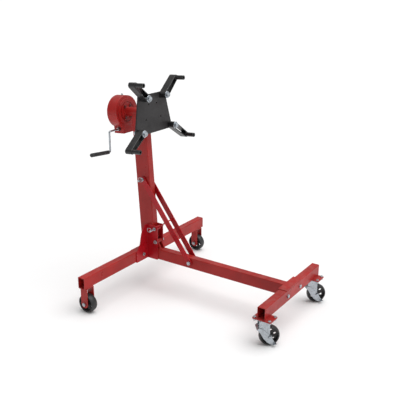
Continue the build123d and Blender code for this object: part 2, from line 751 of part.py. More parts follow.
# ======================================================================
# Turning head: spindle, worm wheel, faceplate and arms
# ======================================================================
def make_spindle():
    rear = GEARBOX_BACK + GEARBOX_WALL + 5
    with BuildPart() as spindle:
        with BuildSketch(head_plane(rear)):
            Circle(SPINDLE_R)
        extrude(amount=PLATE_BACK - rear)
        ends = spindle.edges().filter_by(GeomType.CIRCLE)
        chamfer(ends, length=1)
    return spindle


def make_worm_wheel():
    root = WHEEL_PITCH_R - TOOTH_ROOT
    tip = WHEEL_PITCH_R + TOOTH_ADDENDUM
    with BuildPart() as wheel_part:
        with BuildSketch(head_plane(WORM_AT - WHEEL_FACE / 2)):
            Circle(root)
            with PolarLocations(0, WHEEL_TEETH, start_angle=-90):
                Polygon((root - 1, -TOOTH_HALF - TOOTH_SLOPE), (root - 1, TOOTH_HALF + TOOTH_SLOPE),
                        (tip, TOOTH_HALF - TOOTH_SLOPE), (tip, -TOOTH_HALF + TOOTH_SLOPE),
                        align=None)
        extrude(amount=WHEEL_FACE)
        with BuildSketch(head_plane(WORM_AT - WHEEL_HUB_HALF)):
            Circle(WHEEL_HUB_R)
        extrude(amount=2 * WHEEL_HUB_HALF)
        with BuildSketch(head_plane(WORM_AT - WHEEL_HUB_HALF)):
            Circle(SPINDLE_R + TOUCH)
            with PolarLocations(LIGHTENING_RING_R, 6):
                Circle(LIGHTENING_R)
        extrude(amount=2 * WHEEL_HUB_HALF, mode=Mode.SUBTRACT)
    return wheel_part


def make_spindle_flange():
    with BuildPart() as flange:
        with BuildSketch(head_plane(PLATE_BACK - SPINDLE_FLANGE)):
            Circle(SPINDLE_FLANGE_R)
            Circle(SPINDLE_R + TOUCH, mode=Mode.SUBTRACT)
        extrude(amount=SPINDLE_FLANGE)
    return flange


def make_faceplate():
    with BuildPart() as plate:
        with BuildSketch(head_plane(PLATE_BACK)):
            with BuildLine():
                Polyline([(-PLATE_TOP_HALF, PLATE_TOP), (PLATE_TOP_HALF, PLATE_TOP),
                          (PLATE_BOTTOM_HALF, PLATE_BOTTOM), (-PLATE_BOTTOM_HALF, PLATE_BOTTOM)],
                         close=True)
            make_face()
            fillet(vertices(), radius=PLATE_ROUND)
            with Locations(SPARE_HOLES):
                Circle(SPARE_HOLE_R, mode=Mode.SUBTRACT)
            for y, up in ARM_BOLT_AT.values():
                with Locations((y, up), (-y, up)):
                    Circle(ARM_BOLT_R + RUN, mode=Mode.SUBTRACT)
        extrude(amount=FACEPLATE)
    return plate


def arm_frame(level, side, along):
    """Plane on the faceplate with X from the bolt to the sleeve, and their distance."""
    bolt_y, bolt_up = ARM_BOLT_AT[level]
    sleeve_y, sleeve_up = ARM_SLEEVE_AT[level]
    run, rise = side * (sleeve_y - bolt_y), sleeve_up - bolt_up
    origin = head_centre + spindle_axis * along + Vector(0, side * bolt_y, 0) + mast_axis * bolt_up
    toward = Vector(0, run, 0) + mast_axis * rise
    return Plane(origin, x_dir=toward, z_dir=spindle_axis), hypot(run, rise)


def arm_outline(reach, inset):
    """Tapered outline with round ends, drawn in the sketch that is open."""
    Circle(ARM_WIDTH / 2 - inset)
    with Locations((reach, 0)):
        Circle(ARM_WIDTH / 2 - ARM_TAPER - inset)
    make_hull()


def arm(level, side):
    """Strap bent into a tapered loop that stands on the faceplate, with a sleeve in its bend."""
    plane, reach = arm_frame(level, side, ARM_BACK)
    with BuildPart() as loop:
        with BuildSketch(plane):
            arm_outline(reach, 0)
        extrude(amount=ARM_DEPTH)
        front = loop.faces().sort_by(Axis(plane.origin, plane.z_dir))[-1]
        chamfer(front.outer_wire().edges(), length=1.5)
        with BuildSketch(plane):
            arm_outline(reach, ARM_WALL)
        extrude(amount=ARM_DEPTH, mode=Mode.SUBTRACT)
        with BuildSketch(plane):
            with Locations((reach, 0)):
                Circle(SLEEVE_R)
        extrude(amount=SLEEVE_END)
        with BuildSketch(plane):
            with Locations((reach, 0)):
                Circle(SLEEVE_BORE_R)
        extrude(amount=SLEEVE_END, mode=Mode.SUBTRACT)
    return loop


def arm_bolt(level, side):
    """Hex bolt through the faceplate, with a broad washer on the arm and a nut behind."""
    plane, _ = arm_frame(level, side, ARM_BACK)
    washer_at = ARM_DEPTH + HEX_GAP
    head_at = washer_at + WASHER + HEX_GAP
    back = ARM_BACK - PLATE_BACK + ARM_GAP
    radius, flats, head, nut = ARM_BOLT
    with BuildPart() as bolt:
        with BuildSketch(plane.offset(washer_at)):
            Circle(WASHER_R)
            Circle(radius + 0.3, mode=Mode.SUBTRACT)
        extrude(amount=WASHER)
        with BuildSketch(plane.offset(head_at)):
            RegularPolygon(flats / 2, 6, major_radius=False)
        extrude(amount=head)
        with BuildSketch(plane.offset(head_at)):
            Circle(radius)
        extrude(amount=-(head_at + back + nut + 2))
        with BuildSketch(plane.offset(-back)):
            RegularPolygon(flats / 2, 6, major_radius=False)
            Circle(radius + TOUCH, mode=Mode.SUBTRACT)
        extrude(amount=-nut)
    return bolt


save(make_spindle(), "spindle")
save(make_worm_wheel(), "worm_wheel")
save(make_spindle_flange(), "spindle_flange")
save(make_faceplate(), "faceplate")
for level in ARM_BOLT_AT:
    for side_name, side in SIDES.items():
        save(arm(level, side), f"{level}_{side_name}_arm")
        save(arm_bolt(level, side), f"{level}_{side_name}_arm_bolt")


# ======================================================================
# Crank: worm, bent rod and grip
# ======================================================================
def make_worm():
    """Single-start right-hand worm, cut so that its thread faces a gap between teeth at rest."""
    half = WORM_TURNS / 2 * TOOTH_PITCH
    first = Plane(worm_centre, z_dir=Y_DIR).x_dir
    lead_in = first.get_signed_angle(mast_axis, Y_DIR) / 360 * TOOTH_PITCH
    base = worm_centre - Y_DIR * (half + lead_in)
    shaft_start = Plane(worm_centre - Y_DIR * SHAFT_END, z_dir=Y_DIR)
    with BuildPart() as worm:
        with BuildLine() as thread_line:
            Helix(TOOTH_PITCH, 2 * half, WORM_PITCH_R, center=base, direction=Y_DIR)
        start = thread_line.line @ 0
        across_thread = Plane(start, x_dir=first, z_dir=thread_line.line % 0)
        with BuildSketch(across_thread):
            with BuildLine():
                Polyline([(-THREAD_ROOT, -TOOTH_HALF - TOOTH_SLOPE),
                          (TOOTH_ADDENDUM, -TOOTH_HALF + TOOTH_SLOPE),
                          (TOOTH_ADDENDUM, TOOTH_HALF - TOOTH_SLOPE),
                          (-THREAD_ROOT, TOOTH_HALF + TOOTH_SLOPE)], close=True)
            make_face()
        sweep(path=thread_line.line, is_frenet=True)
        with BuildSketch(Plane(worm_centre - Y_DIR * (half + WORM_SHOULDER), z_dir=Y_DIR)):
            Circle(WORM_PITCH_R - TOOTH_ROOT)
        extrude(amount=2 * (half + WORM_SHOULDER))
        with BuildSketch(shaft_start):
            Circle(SHAFT_R)
        extrude(amount=SHAFT_END + GEARBOX_BOX_HALF)
        with BuildSketch(shaft_start):
            Circle(CRANK_ROD_R + TOUCH)
        extrude(amount=ROD_SOCKET, mode=Mode.SUBTRACT)
    return worm


def make_crank_rod():
    start = worm_centre - Y_DIR * (SHAFT_END - ROD_SOCKET + 1)
    elbow = worm_centre - Y_DIR * CRANK_REACH
    end = grip_root + grip_axis * (GRIP_START + GRIP_LENGTH - GRIP_CAP - 1)
    with BuildPart() as rod:
        with BuildLine() as route:
            FilletPolyline(start, elbow, grip_root, end, radius=CRANK_BEND_R)
        with BuildSketch(Plane(start, z_dir=(0, -1, 0))):
            Circle(CRANK_ROD_R)
        sweep(path=route.line)
    return rod


def make_crank_grip():
    """Moulded grip with a rounded closed end, turning on the rod."""
    root = Plane(grip_root + grip_axis * GRIP_START, z_dir=grip_axis)
    with BuildPart() as grip:
        with BuildSketch(root):
            Circle(GRIP_R)
        extrude(amount=GRIP_LENGTH)
        fillet(grip.edges().sort_by(Axis(grip_root, grip_axis))[-1], radius=5)
        fillet(grip.edges().sort_by(Axis(grip_root, grip_axis))[0], radius=2)
        with BuildSketch(root):
            Circle(CRANK_ROD_R + RUN)
        extrude(amount=GRIP_LENGTH - GRIP_CAP, mode=Mode.SUBTRACT)
    return grip


save(make_worm(), "worm")
save(make_crank_rod(), "crank_rod")
save(make_crank_grip(), "crank_grip")


# ======================================================================
# Folding main beam, front crossbar and brace
# ======================================================================
def make_main_beam():
    with BuildPart() as beam:
        with BuildSketch(facing(BEAM_START)):
            with Locations((0, TUBE_MID)):
                tube_section(TUBE_W, TUBE_H, TUBE_WALL)
        extrude(amount=BEAM_END - BEAM_START)
        with BuildSketch(across(TUBE_W)):
            with Locations(BRACE_BOLT):
                Circle(PIN_R + RUN)
        extrude(amount=2 * TUBE_W, mode=Mode.SUBTRACT)
    return beam


def make_hinge_sleeve():
    with BuildPart() as sleeve:
        with BuildSketch(across(HINGE_SLEEVE_HALF)):
            with Locations(HINGE):
                Circle(HINGE_SLEEVE_R)
                Circle(PIN_R + RUN, mode=Mode.SUBTRACT)
        extrude(amount=2 * HINGE_SLEEVE_HALF)
    return sleeve


def make_hinge_lugs():
    hinge_x, hinge_z = HINGE
    outline = [(hinge_x - 4, TUBE_TOP), (hinge_x + 30, TUBE_TOP), (hinge_x + 10, hinge_z),
               (hinge_x - 2, hinge_z)]
    with BuildPart() as lugs:
        for low in (-LUG_INNER - LUG, LUG_INNER):
            with BuildSketch(across(low + LUG)):
                with BuildLine():
                    Polyline(outline, close=True)
                make_face()
                with Locations(HINGE):
                    Circle(HINGE_SLEEVE_R + TOUCH, mode=Mode.SUBTRACT)
            extrude(amount=LUG)
    return lugs


def make_crossbar_socket():
    """Channel that is open to the front and takes the crossbar."""
    front = CROSSBAR_X + TUBE_W / 2
    with BuildPart() as socket:
        with BuildSketch(across(SOCKET_HALF)):
            with Locations(((BEAM_END + front) / 2, TUBE_MID)):
                Rectangle(front - BEAM_END, TUBE_H + 2 * SOCKET_WALL)
            with Locations((CROSSBAR_X, TUBE_MID)):
                Rectangle(TUBE_W, TUBE_H, mode=Mode.SUBTRACT)
            with Locations((front - SOCKET_LIP_SETBACK / 2, TUBE_BOTTOM - SOCKET_WALL / 2)):
                Rectangle(SOCKET_LIP_SETBACK, SOCKET_WALL, mode=Mode.SUBTRACT)
        extrude(amount=2 * SOCKET_HALF)
        with BuildSketch(facing(BEAM_END)):
            with Locations((-CROSSBAR_BOLT_Y, TUBE_MID), (CROSSBAR_BOLT_Y, TUBE_MID)):
                Circle(FRAME_BOLT_R + TOUCH)
        extrude(amount=SOCKET_BACK, mode=Mode.SUBTRACT)
        outer_bends = socket.edges().filter_by(Axis.Y).group_by(Axis.X)[0]
        fillet(outer_bends, radius=SOCKET_WALL - 0.5)
    return socket


def make_front_crossbar():
    with BuildPart() as crossbar:
        with BuildSketch(across(CROSSBAR_HALF)):
            with Locations((CROSSBAR_X, TUBE_MID)):
                tube_section(TUBE_W, TUBE_H, TUBE_WALL)
        extrude(amount=2 * CROSSBAR_HALF)
        with BuildSketch(facing(CROSSBAR_X - TUBE_W)):
            with Locations((-CROSSBAR_BOLT_Y, TUBE_MID), (CROSSBAR_BOLT_Y, TUBE_MID)):
                Circle(FRAME_BOLT_R + TOUCH)
        extrude(amount=2 * TUBE_W, mode=Mode.SUBTRACT)
    return crossbar


def make_crossbar_bolts():
    seat_x = CROSSBAR_X + TUBE_W / 2
    seats = [Plane((seat_x, sign * CROSSBAR_BOLT_Y, TUBE_MID), z_dir=(1, 0, 0)) for sign in (-1, 1)]
    return hex_bolts(seats, FRAME_BOLT, grip=TUBE_W + SOCKET_BACK)


def make_brace_bolt():
    reach = BRACE_INNER + PLATE
    seat = side_seat(*BRACE_BOLT, -reach)
    return hex_bolts([seat], PIVOT_BOLT, grip=2 * reach)


def release_slot(centre, direction, length):
    """Open-ended slot from a pin's seat, drawn in the sketch that is open."""
    angle = radians(direction)
    width = 2 * (PIN_R + PIN_PLAY)
    middle = (centre[0] + cos(angle) * length / 2, centre[1] + sin(angle) * length / 2)
    with Locations(centre):
        Circle(width / 2, mode=Mode.SUBTRACT)
    with Locations(middle):
        Rectangle(length, width, rotation=direction, mode=Mode.SUBTRACT)


def brace_bar(side):
    """Flat bar hooked over the upper pin, with a boss that spaces it off the beam's side."""
    middle = ((UPPER_PIN[0] + BRACE_BOLT[0]) / 2, (UPPER_PIN[1] + BRACE_BOLT[1]) / 2)
    with BuildPart() as bar:
        with BuildSketch(outward(side, BRACE_INNER, PLATE)):
            with Locations(middle):
                SlotCenterToCenter(brace_length, BRACE_WIDTH, rotation=brace_angle)
            release_slot(UPPER_PIN, UPPER_RELEASE, UPPER_SLOT)
        extrude(amount=PLATE)
        with BuildSketch(outward(side, MAST_WIDTH / 2, BRACE_GAP)):
            with Locations(BRACE_BOLT):
                Circle(BRACE_BOSS_R)
        extrude(amount=BRACE_GAP)
        with BuildSketch(outward(side, MAST_WIDTH / 2, BRACE_GAP + PLATE)):
            with Locations(BRACE_BOLT):
                Circle(PIN_R + RUN)
        extrude(amount=BRACE_GAP + PLATE, mode=Mode.SUBTRACT)
    return bar


def make_brace_strut():
    """Cross plate between the braces, ending in a hook round the lower pin."""
    unit = (brace_run / brace_length, brace_rise / brace_length)
    along = (LOWER_PIN[0] - BRACE_BOLT[0]) * unit[0] + (LOWER_PIN[1] - BRACE_BOLT[1]) * unit[1]
    foot = (BRACE_BOLT[0] + unit[0] * along, BRACE_BOLT[1] + unit[1] * along)
    reach = hypot(foot[0] - LOWER_PIN[0], foot[1] - LOWER_PIN[1])
    middle = ((foot[0] + LOWER_PIN[0]) / 2, (foot[1] + LOWER_PIN[1]) / 2)
    with BuildPart() as strut:
        with BuildSketch(across(STRUT_HALF)):
            with Locations(middle):
                Rectangle(reach, PLATE, rotation=brace_angle + 90)
            with Locations(LOWER_PIN):
                Circle(PIN_R + PIN_PLAY + HOOK_WALL)
            release_slot(LOWER_PIN, LOWER_RELEASE, LOWER_SLOT)
        extrude(amount=2 * STRUT_HALF)
        quarter = (foot[0] + (LOWER_PIN[0] - foot[0]) / 8, foot[1] + (LOWER_PIN[1] - foot[1]) / 8)
        with BuildSketch(across(BRACE_INNER)):
            with Locations(quarter):
                Rectangle(reach / 4, PLATE, rotation=brace_angle + 90)
        extrude(amount=2 * BRACE_INNER)
    return strut


save(make_main_beam(), "main_beam")
save(make_hinge_sleeve(), "hinge_sleeve")
save(make_hinge_lugs(), "hinge_lugs")
save(make_crossbar_socket(), "crossbar_socket")
save(make_front_crossbar(), "front_crossbar")
save(make_crossbar_bolts(), "crossbar_bolts")
save(make_brace_bolt(), "brace_bolt")
save(brace_bar(SIDES["left"]), "left_brace")
save(brace_bar(SIDES["right"]), "right_brace")
save(make_brace_strut(), "brace_strut")


# ======================================================================
# Locking pins and their pull rings
# ======================================================================
def lock_pin(place, seat, far_end, ring_angle):
    """Round pin with a collar, a cross-drilled neck for the ring and a pointed tip."""
    x, z = place
    ring_dir = Vector(cos(radians(ring_angle)), 0, sin(radians(ring_angle)))
    wire_dir = ring_dir.cross(Vector(0, 1, 0))
    hole_centre = Vector(x, RING_HOLE_Y, z)
    with BuildPart() as pin:
        with BuildSketch(Plane((x, -seat, z), z_dir=(0, 1, 0))):
            Circle(PIN_R)
        extrude(amount=seat + far_end)
        chamfer(pin.edges().filter_by(GeomType.CIRCLE).sort_by(Axis.Y)[-1], length=2)
        with BuildSketch(Plane((x, -seat, z), z_dir=(0, -1, 0))):
            Circle(PIN_COLLAR_R)
        extrude(amount=PIN_COLLAR)
        with BuildSketch(Plane((x, -seat, z), z_dir=(0, -1, 0))):
            Circle(NECK_R)
        extrude(amount=-RING_HOLE_Y + NECK_PAST_HOLE - seat)
        with BuildSketch(Plane(hole_centre - wire_dir * 2 * NECK_R, z_dir=wire_dir)):
            Circle(RING_HOLE_R)
        extrude(amount=4 * NECK_R, mode=Mode.SUBTRACT)
    return pin


def pull_ring(place, ring_angle):
    x, z = place
    ring_dir = Vector(cos(radians(ring_angle)), 0, sin(radians(ring_angle)))
    centre = Vector(x, RING_HOLE_Y, z) + ring_dir * RING_R
    section = Plane(centre, x_dir=ring_dir, z_dir=ring_dir.cross(Vector(0, 1, 0)))
    with BuildPart() as ring:
        with BuildSketch(section):
            with Locations((RING_R, 0)):
                Circle(RING_WIRE_R)
        revolve(axis=Axis(centre, (0, 1, 0)))
    return ring


upper_seat = BRACE_INNER + PLATE + PIN_CLEAR
lower_seat = MAST_WIDTH / 2 + PLATE + PIN_CLEAR
save(lock_pin(UPPER_PIN, upper_seat, UPPER_PIN_END, UPPER_RING_ANGLE), "upper_lock_pin")
save(pull_ring(UPPER_PIN, UPPER_RING_ANGLE), "upper_pin_ring")
save(lock_pin(LOWER_PIN, lower_seat, LOWER_PIN_END, LOWER_RING_ANGLE), "lower_lock_pin")
save(pull_ring(LOWER_PIN, LOWER_RING_ANGLE), "lower_pin_ring")
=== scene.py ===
import json
import math
import random
from collections import namedtuple

import bmesh
import bpy
from mathutils import Matrix, Vector


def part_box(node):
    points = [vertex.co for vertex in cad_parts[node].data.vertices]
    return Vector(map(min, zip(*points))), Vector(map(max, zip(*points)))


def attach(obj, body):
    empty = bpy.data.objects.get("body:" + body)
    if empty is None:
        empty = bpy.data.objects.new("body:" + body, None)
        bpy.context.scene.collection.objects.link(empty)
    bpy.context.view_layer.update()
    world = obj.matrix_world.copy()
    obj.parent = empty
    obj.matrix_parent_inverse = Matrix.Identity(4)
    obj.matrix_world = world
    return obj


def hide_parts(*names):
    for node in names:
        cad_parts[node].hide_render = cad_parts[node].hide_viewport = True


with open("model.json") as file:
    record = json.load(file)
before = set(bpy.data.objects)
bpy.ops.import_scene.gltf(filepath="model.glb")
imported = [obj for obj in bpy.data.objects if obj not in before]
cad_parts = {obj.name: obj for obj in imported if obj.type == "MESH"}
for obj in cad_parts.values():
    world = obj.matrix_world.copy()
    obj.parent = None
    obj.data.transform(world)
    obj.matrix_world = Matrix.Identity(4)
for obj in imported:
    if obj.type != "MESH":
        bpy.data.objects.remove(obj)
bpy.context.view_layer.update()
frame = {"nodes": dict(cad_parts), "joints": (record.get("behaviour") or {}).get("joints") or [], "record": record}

MM = 0.001
NODES = frame["nodes"]
RECORD = frame["record"]
JOINTS = {joint["name"]: joint for joint in frame["joints"]}
MOUNTS = {mount["name"]: mount for mount in RECORD["mounts"]}
SLOT_OF = {part["node"]: part["material_slot"] for part in RECORD["subparts"]}
X_AXIS = Vector((1, 0, 0))
Y_AXIS = Vector((0, 1, 0))
Z_AXIS = Vector((0, 0, 1))
SIDES = ("left", "right")
LEVELS = ("upper", "lower")
chance = random.Random(7)


# ----------------------------------------------------------------------
# Camera
# ----------------------------------------------------------------------
CAMERA_PLACE = (1.67524, -2.49622, 1.55547)
CAMERA_AZIMUTH = math.radians(34.31)
CAMERA_ELEVATION = math.radians(19.67)
SENSOR_WIDTH = 36
FOCAL_LENGTH = 57.68
SHIFT_UP = 0.02
CLIP_NEAR = 0.05
CLIP_FAR = 400


def make_camera():
    camera = bpy.data.objects.new("camera", bpy.data.cameras.new("camera"))
    bpy.context.scene.collection.objects.link(camera)
    bpy.context.scene.camera = camera
    camera.location = CAMERA_PLACE
    back = Vector((math.sin(CAMERA_AZIMUTH) * math.cos(CAMERA_ELEVATION),
                   -math.cos(CAMERA_AZIMUTH) * math.cos(CAMERA_ELEVATION),
                   math.sin(CAMERA_ELEVATION)))
    camera.rotation_mode = "QUATERNION"
    camera.rotation_quaternion = (-back).to_track_quat("-Z", "Y")
    camera.data.sensor_width = SENSOR_WIDTH
    camera.data.lens = FOCAL_LENGTH
    camera.data.shift_y = SHIFT_UP
    camera.data.clip_start = CLIP_NEAR
    camera.data.clip_end = CLIP_FAR


make_camera()


# ----------------------------------------------------------------------
# Materials
# ----------------------------------------------------------------------
BEVEL_SAMPLES = 4
SHARP_EDGE_DOT = 0.80
NO_EDGE_DOT = 0.985


class Shader:
    """A principled material and short ways to add the nodes that drive it."""

    def __init__(self, name):
        self.material = bpy.data.materials.new(name)
        self.material.use_nodes = True
        self.tree = self.material.node_tree
        self.tree.nodes.clear()
        self.surface = self.add("ShaderNodeBsdfPrincipled")
        output = self.add("ShaderNodeOutputMaterial")
        self.link(self.surface.outputs["BSDF"], output.inputs["Surface"])
        self.place = self.add("ShaderNodeTexCoord").outputs["Object"]

    def add(self, kind, **values):
        node = self.tree.nodes.new(kind)
        for key, value in values.items():
            setattr(node, key, value)
        return node

    def link(self, source, target):
        self.tree.links.new(source, target)

    def feed(self, socket, value):
        if isinstance(value, bpy.types.NodeSocket):
            self.link(value, socket)
        else:
            socket.default_value = value

    def stretched(self, scale):
        mapping = self.add("ShaderNodeMapping")
        self.link(self.place, mapping.inputs["Vector"])
        mapping.inputs["Scale"].default_value = scale
        return mapping.outputs["Vector"]

    def noise(self, scale, detail=3.0, roughness=0.55, distortion=0.0, place=None):
        node = self.add("ShaderNodeTexNoise")
        self.link(place or self.place, node.inputs["Vector"])
        node.inputs["Scale"].default_value = scale
        node.inputs["Detail"].default_value = detail
        node.inputs["Roughness"].default_value = roughness
        node.inputs["Distortion"].default_value = distortion
        return node.outputs["Fac"]

    def streaks(self, stretch, detail=2.0, roughness=0.5, distortion=0.0):
        """Noise drawn out into lines: stretch is how fast it varies along each axis."""
        return self.noise(1.0, detail, roughness, distortion, self.stretched(stretch))

    def crystals(self, scale):
        """A random level for each Voronoi cell."""
        node = self.add("ShaderNodeTexVoronoi", feature="F1")
        self.link(self.place, node.inputs["Vector"])
        node.inputs["Scale"].default_value = scale
        separate = self.add("ShaderNodeSeparateColor")
        self.link(node.outputs["Color"], separate.inputs["Color"])
        return separate.outputs["Red"]

    def ramp(self, value, low, high, start=0.0, end=1.0):
        """Smooth change from start to end, as the value goes from low to high."""
        node = self.add("ShaderNodeMapRange", interpolation_type="SMOOTHSTEP")
        self.feed(node.inputs["Value"], value)
        for socket, number in zip(("From Min", "From Max", "To Min", "To Max"),
                                  (low, high, start, end)):
            node.inputs[socket].default_value = number
        return node.outputs["Result"]

    def math(self, operation, a, b):
        node = self.add("ShaderNodeMath", operation=operation, use_clamp=True)
        self.feed(node.inputs[0], a)
        self.feed(node.inputs[1], b)
        return node.outputs["Value"]

    def times(self, a, b):
        return self.math("MULTIPLY", a, b)

    def plus(self, a, b):
        return self.math("ADD", a, b)

    def mix(self, amount, a, b):
        node = self.add("ShaderNodeMix", data_type="RGBA")
        self.feed(node.inputs["Factor"], amount)
        self.feed(node.inputs["A"], a)
        self.feed(node.inputs["B"], b)
        return node.outputs["Result"]

    def rounded_normal(self, radius):
        rounded = self.add("ShaderNodeBevel", samples=BEVEL_SAMPLES)
        rounded.inputs["Radius"].default_value = radius
        return rounded.outputs["Normal"]

    def edges(self, radius):
        """Near 1 on sharp edges, from how far a rounded normal leaves the true one."""
        geometry = self.add("ShaderNodeNewGeometry")
        dot = self.add("ShaderNodeVectorMath", operation="DOT_PRODUCT")
        self.link(self.rounded_normal(radius), dot.inputs[0])
        self.link(geometry.outputs["Normal"], dot.inputs[1])
        return self.ramp(dot.outputs["Value"], SHARP_EDGE_DOT, NO_EDGE_DOT, 1.0, 0.0)

    def z_of(self, vector):
        split = self.add("ShaderNodeSeparateXYZ")
        self.link(vector, split.inputs["Vector"])
        return split.outputs["Z"]

    def facing_up(self):
        return self.z_of(self.add("ShaderNodeNewGeometry").outputs["Normal"])

    def height(self):
        return self.z_of(self.place)

    def bump(self, layers, rounding=0.0006):
        """Stacks (height, strength, depth) layers of bump on normals rounded at the edges."""
        normal = self.rounded_normal(rounding)
        for height, strength, depth in layers:
            node = self.add("ShaderNodeBump")
            self.feed(node.inputs["Height"], height)
            node.inputs["Strength"].default_value = strength
            node.inputs["Distance"].default_value = depth
            self.link(normal, node.inputs["Normal"])
            normal = node.outputs["Normal"]
        self.link(normal, self.surface.inputs["Normal"])

    def set(self, **values):
        for key, value in values.items():
            self.feed(self.surface.inputs[key.replace("_", " ")], value)


def shade(color, factor=1.0):
    return (color[0] * factor, color[1] * factor, color[2] * factor, 1.0)


BARE_STEEL = (0.36, 0.35, 0.34)
DUST = (0.42, 0.38, 0.34)
GRIME = (0.035, 0.028, 0.025)
ZINC_BLOOM = (0.62, 0.63, 0.62)
POLISHED_ZINC = (0.85, 0.86, 0.87)
ZINC_DIRT = (0.16, 0.145, 0.13)
SCUFFED_BLACK = (0.12, 0.118, 0.115)
RUBBED_BLACK = (0.085, 0.083, 0.08)
DUSTY_BLACK = (0.10, 0.093, 0.085)
CHIP_SOFTNESS = 0.09


def painted(name, color, gloss, peel=0.25, wear=0.55, specular=0.3):
    """Powder coat: blotchy gloss, orange peel, chips on the edges, dust and fine scratches.
    Its edges are lighter: partly rubbed paint, partly a painted highlight.

    gloss is the middling roughness, peel the orange peel's strength, and wear the level of
    noise above which an edge is chipped.
    """
    paint = Shader(name)
    blotches = paint.ramp(paint.noise(7.0, detail=4.0, roughness=0.6), 0.32, 0.7)
    tone = paint.mix(blotches, shade(color, 0.84), shade(color, 1.12))
    mottle = paint.ramp(paint.noise(90.0), 0.45, 0.8, end=0.35)
    tone = paint.mix(mottle, tone, shade(color, 0.72))
    scratches = paint.ramp(paint.streaks((38, 38, 620), distortion=0.6), 0.66, 0.74)
    along = paint.ramp(paint.streaks((24, 700, 700), distortion=0.4), 0.4, 0.7)
    tone = paint.mix(paint.times(paint.times(scratches, along), 0.35), tone, shade(color, 1.6))
    edge = paint.edges(0.0016)
    speckle = paint.noise(260.0, detail=4.0, roughness=0.7)
    chip = paint.times(edge, paint.ramp(speckle, wear, wear + CHIP_SOFTNESS))
    # lighter edges: partly rubbed paint, partly a painted highlight along the edges
    rubbed_and_highlit_edge = paint.times(edge, paint.ramp(paint.noise(24.0), 0.3, 0.75, 0.05, 0.45))
    tone = paint.mix(rubbed_and_highlit_edge, tone, shade(color, 1.45))
    tone = paint.mix(chip, tone, shade(BARE_STEEL))
    dusty = paint.ramp(paint.noise(34.0, detail=5.0, roughness=0.65), 0.35, 0.75)
    settled = paint.times(paint.ramp(paint.facing_up(), 0.55, 1.0, end=0.12), dusty)
    tone = paint.mix(settled, tone, shade(DUST))
    low = paint.times(paint.ramp(paint.height(), 0.02, 0.16, 0.4, 0.0),
                      paint.ramp(paint.noise(45.0, detail=4.0), 0.45, 0.7))
    tone = paint.mix(low, tone, shade(GRIME))
    haze = paint.ramp(paint.noise(19.0, detail=5.0, roughness=0.6), 0.3, 0.75,
                      gloss - 0.07, gloss + 0.12)
    paint.set(Base_Color=tone, Roughness=paint.plus(haze, paint.times(settled, 0.9)),
              Metallic=chip, Coat_Weight=0.05, Coat_Roughness=0.2, Specular_IOR_Level=specular)
    paint.bump([(paint.noise(620.0, detail=1.0), peel, 0.00012),
                (paint.noise(60.0, detail=2.0), 0.12, 0.0005), (chip, -0.5, 0.0002)])
    return paint.material


def plated(name, color, roughness):
    """Zinc plate: faint spangle, dull patches, dirt and a little white bloom."""
    zinc = Shader(name)
    grain = zinc.crystals(420.0)
    tone = zinc.mix(zinc.ramp(grain, 0.0, 1.0), shade(color, 0.86), shade(color, 1.06))
    dull = zinc.ramp(zinc.noise(55.0, detail=4.0, roughness=0.6), 0.38, 0.72)
    tone = zinc.mix(zinc.times(dull, 0.5), tone,
                    (color[0] * 0.74, color[1] * 0.72, color[2] * 0.70, 1.0))
    bloom = zinc.ramp(zinc.noise(150.0, detail=5.0, roughness=0.7), 0.62, 0.8, end=0.35)
    tone = zinc.mix(bloom, tone, shade(ZINC_BLOOM))
    tone = zinc.mix(zinc.times(zinc.edges(0.0012), 0.35), tone, shade(POLISHED_ZINC))
    dirt = zinc.ramp(zinc.noise(85.0), 0.58, 0.76, end=0.35)
    tone = zinc.mix(dirt, tone, shade(ZINC_DIRT))
    rough = zinc.plus(zinc.ramp(grain, 0.0, 1.0, roughness - 0.06, roughness + 0.06),
                      zinc.times(dull, 0.2))
    zinc.set(Base_Color=tone, Roughness=zinc.plus(rough, bloom), Metallic=0.92)
    zinc.bump([(grain, 0.10, 0.0001), (zinc.noise(900.0, detail=2.0), 0.12, 0.00006)], 0.0005)
    return zinc.material


def machined(name, color, roughness):
    """Turned metal: fine tool lines, oil film and a few dark stains."""
    metal = Shader(name)
    lines = metal.streaks((2600, 60, 60))
    film = metal.noise(70.0, detail=4.0, roughness=0.6)
    tone = metal.mix(metal.ramp(lines, 0.3, 0.7), shade(color, 0.82), shade(color, 1.08))
    tone = metal.mix(metal.ramp(film, 0.5, 0.78, end=0.5), tone, shade(color, 0.5))
    metal.set(Base_Color=tone, Metallic=1.0,
              Roughness=metal.ramp(film, 0.3, 0.75, roughness - 0.06, roughness + 0.12))
    metal.bump([(lines, 0.2, 0.00008)], 0.0005)
    return metal.material


def moulded(name, color, roughness, scuffed, grain=1200.0):
    """Moulded black: pebbled skin, grey scuffs on the high edges and dust in patches."""
    skin = Shader(name)
    tone = skin.mix(skin.ramp(skin.noise(40.0, detail=4.0), 0.35, 0.7),
                    shade(color, 0.75), shade(color, 1.35))
    scuff = skin.times(skin.edges(0.0018),
                       skin.ramp(skin.noise(210.0, detail=4.0, roughness=0.7), 0.42, 0.7))
    tone = skin.mix(skin.times(scuff, scuffed), tone, shade(SCUFFED_BLACK))
    streaks = skin.streaks((60, 420, 60), detail=3.0, roughness=0.6, distortion=0.8)
    rubbed = skin.ramp(streaks, 0.62, 0.8, end=0.5 * scuffed)
    tone = skin.mix(rubbed, tone, shade(RUBBED_BLACK))
    dust = skin.ramp(skin.noise(28.0, detail=5.0, roughness=0.65), 0.5, 0.8, end=0.30)
    tone = skin.mix(dust, tone, shade(DUSTY_BLACK))
    sheen = skin.ramp(skin.noise(160.0), 0.3, 0.7, roughness - 0.05, roughness + 0.08)
    skin.set(Base_Color=tone, Roughness=skin.plus(sheen, skin.times(dust, 0.8)),
             Specular_IOR_Level=0.45)
    skin.bump([(skin.noise(grain, detail=2.0), 0.25, 0.0001), (streaks, 0.08, 0.0003)], 0.0009)
    return skin.material


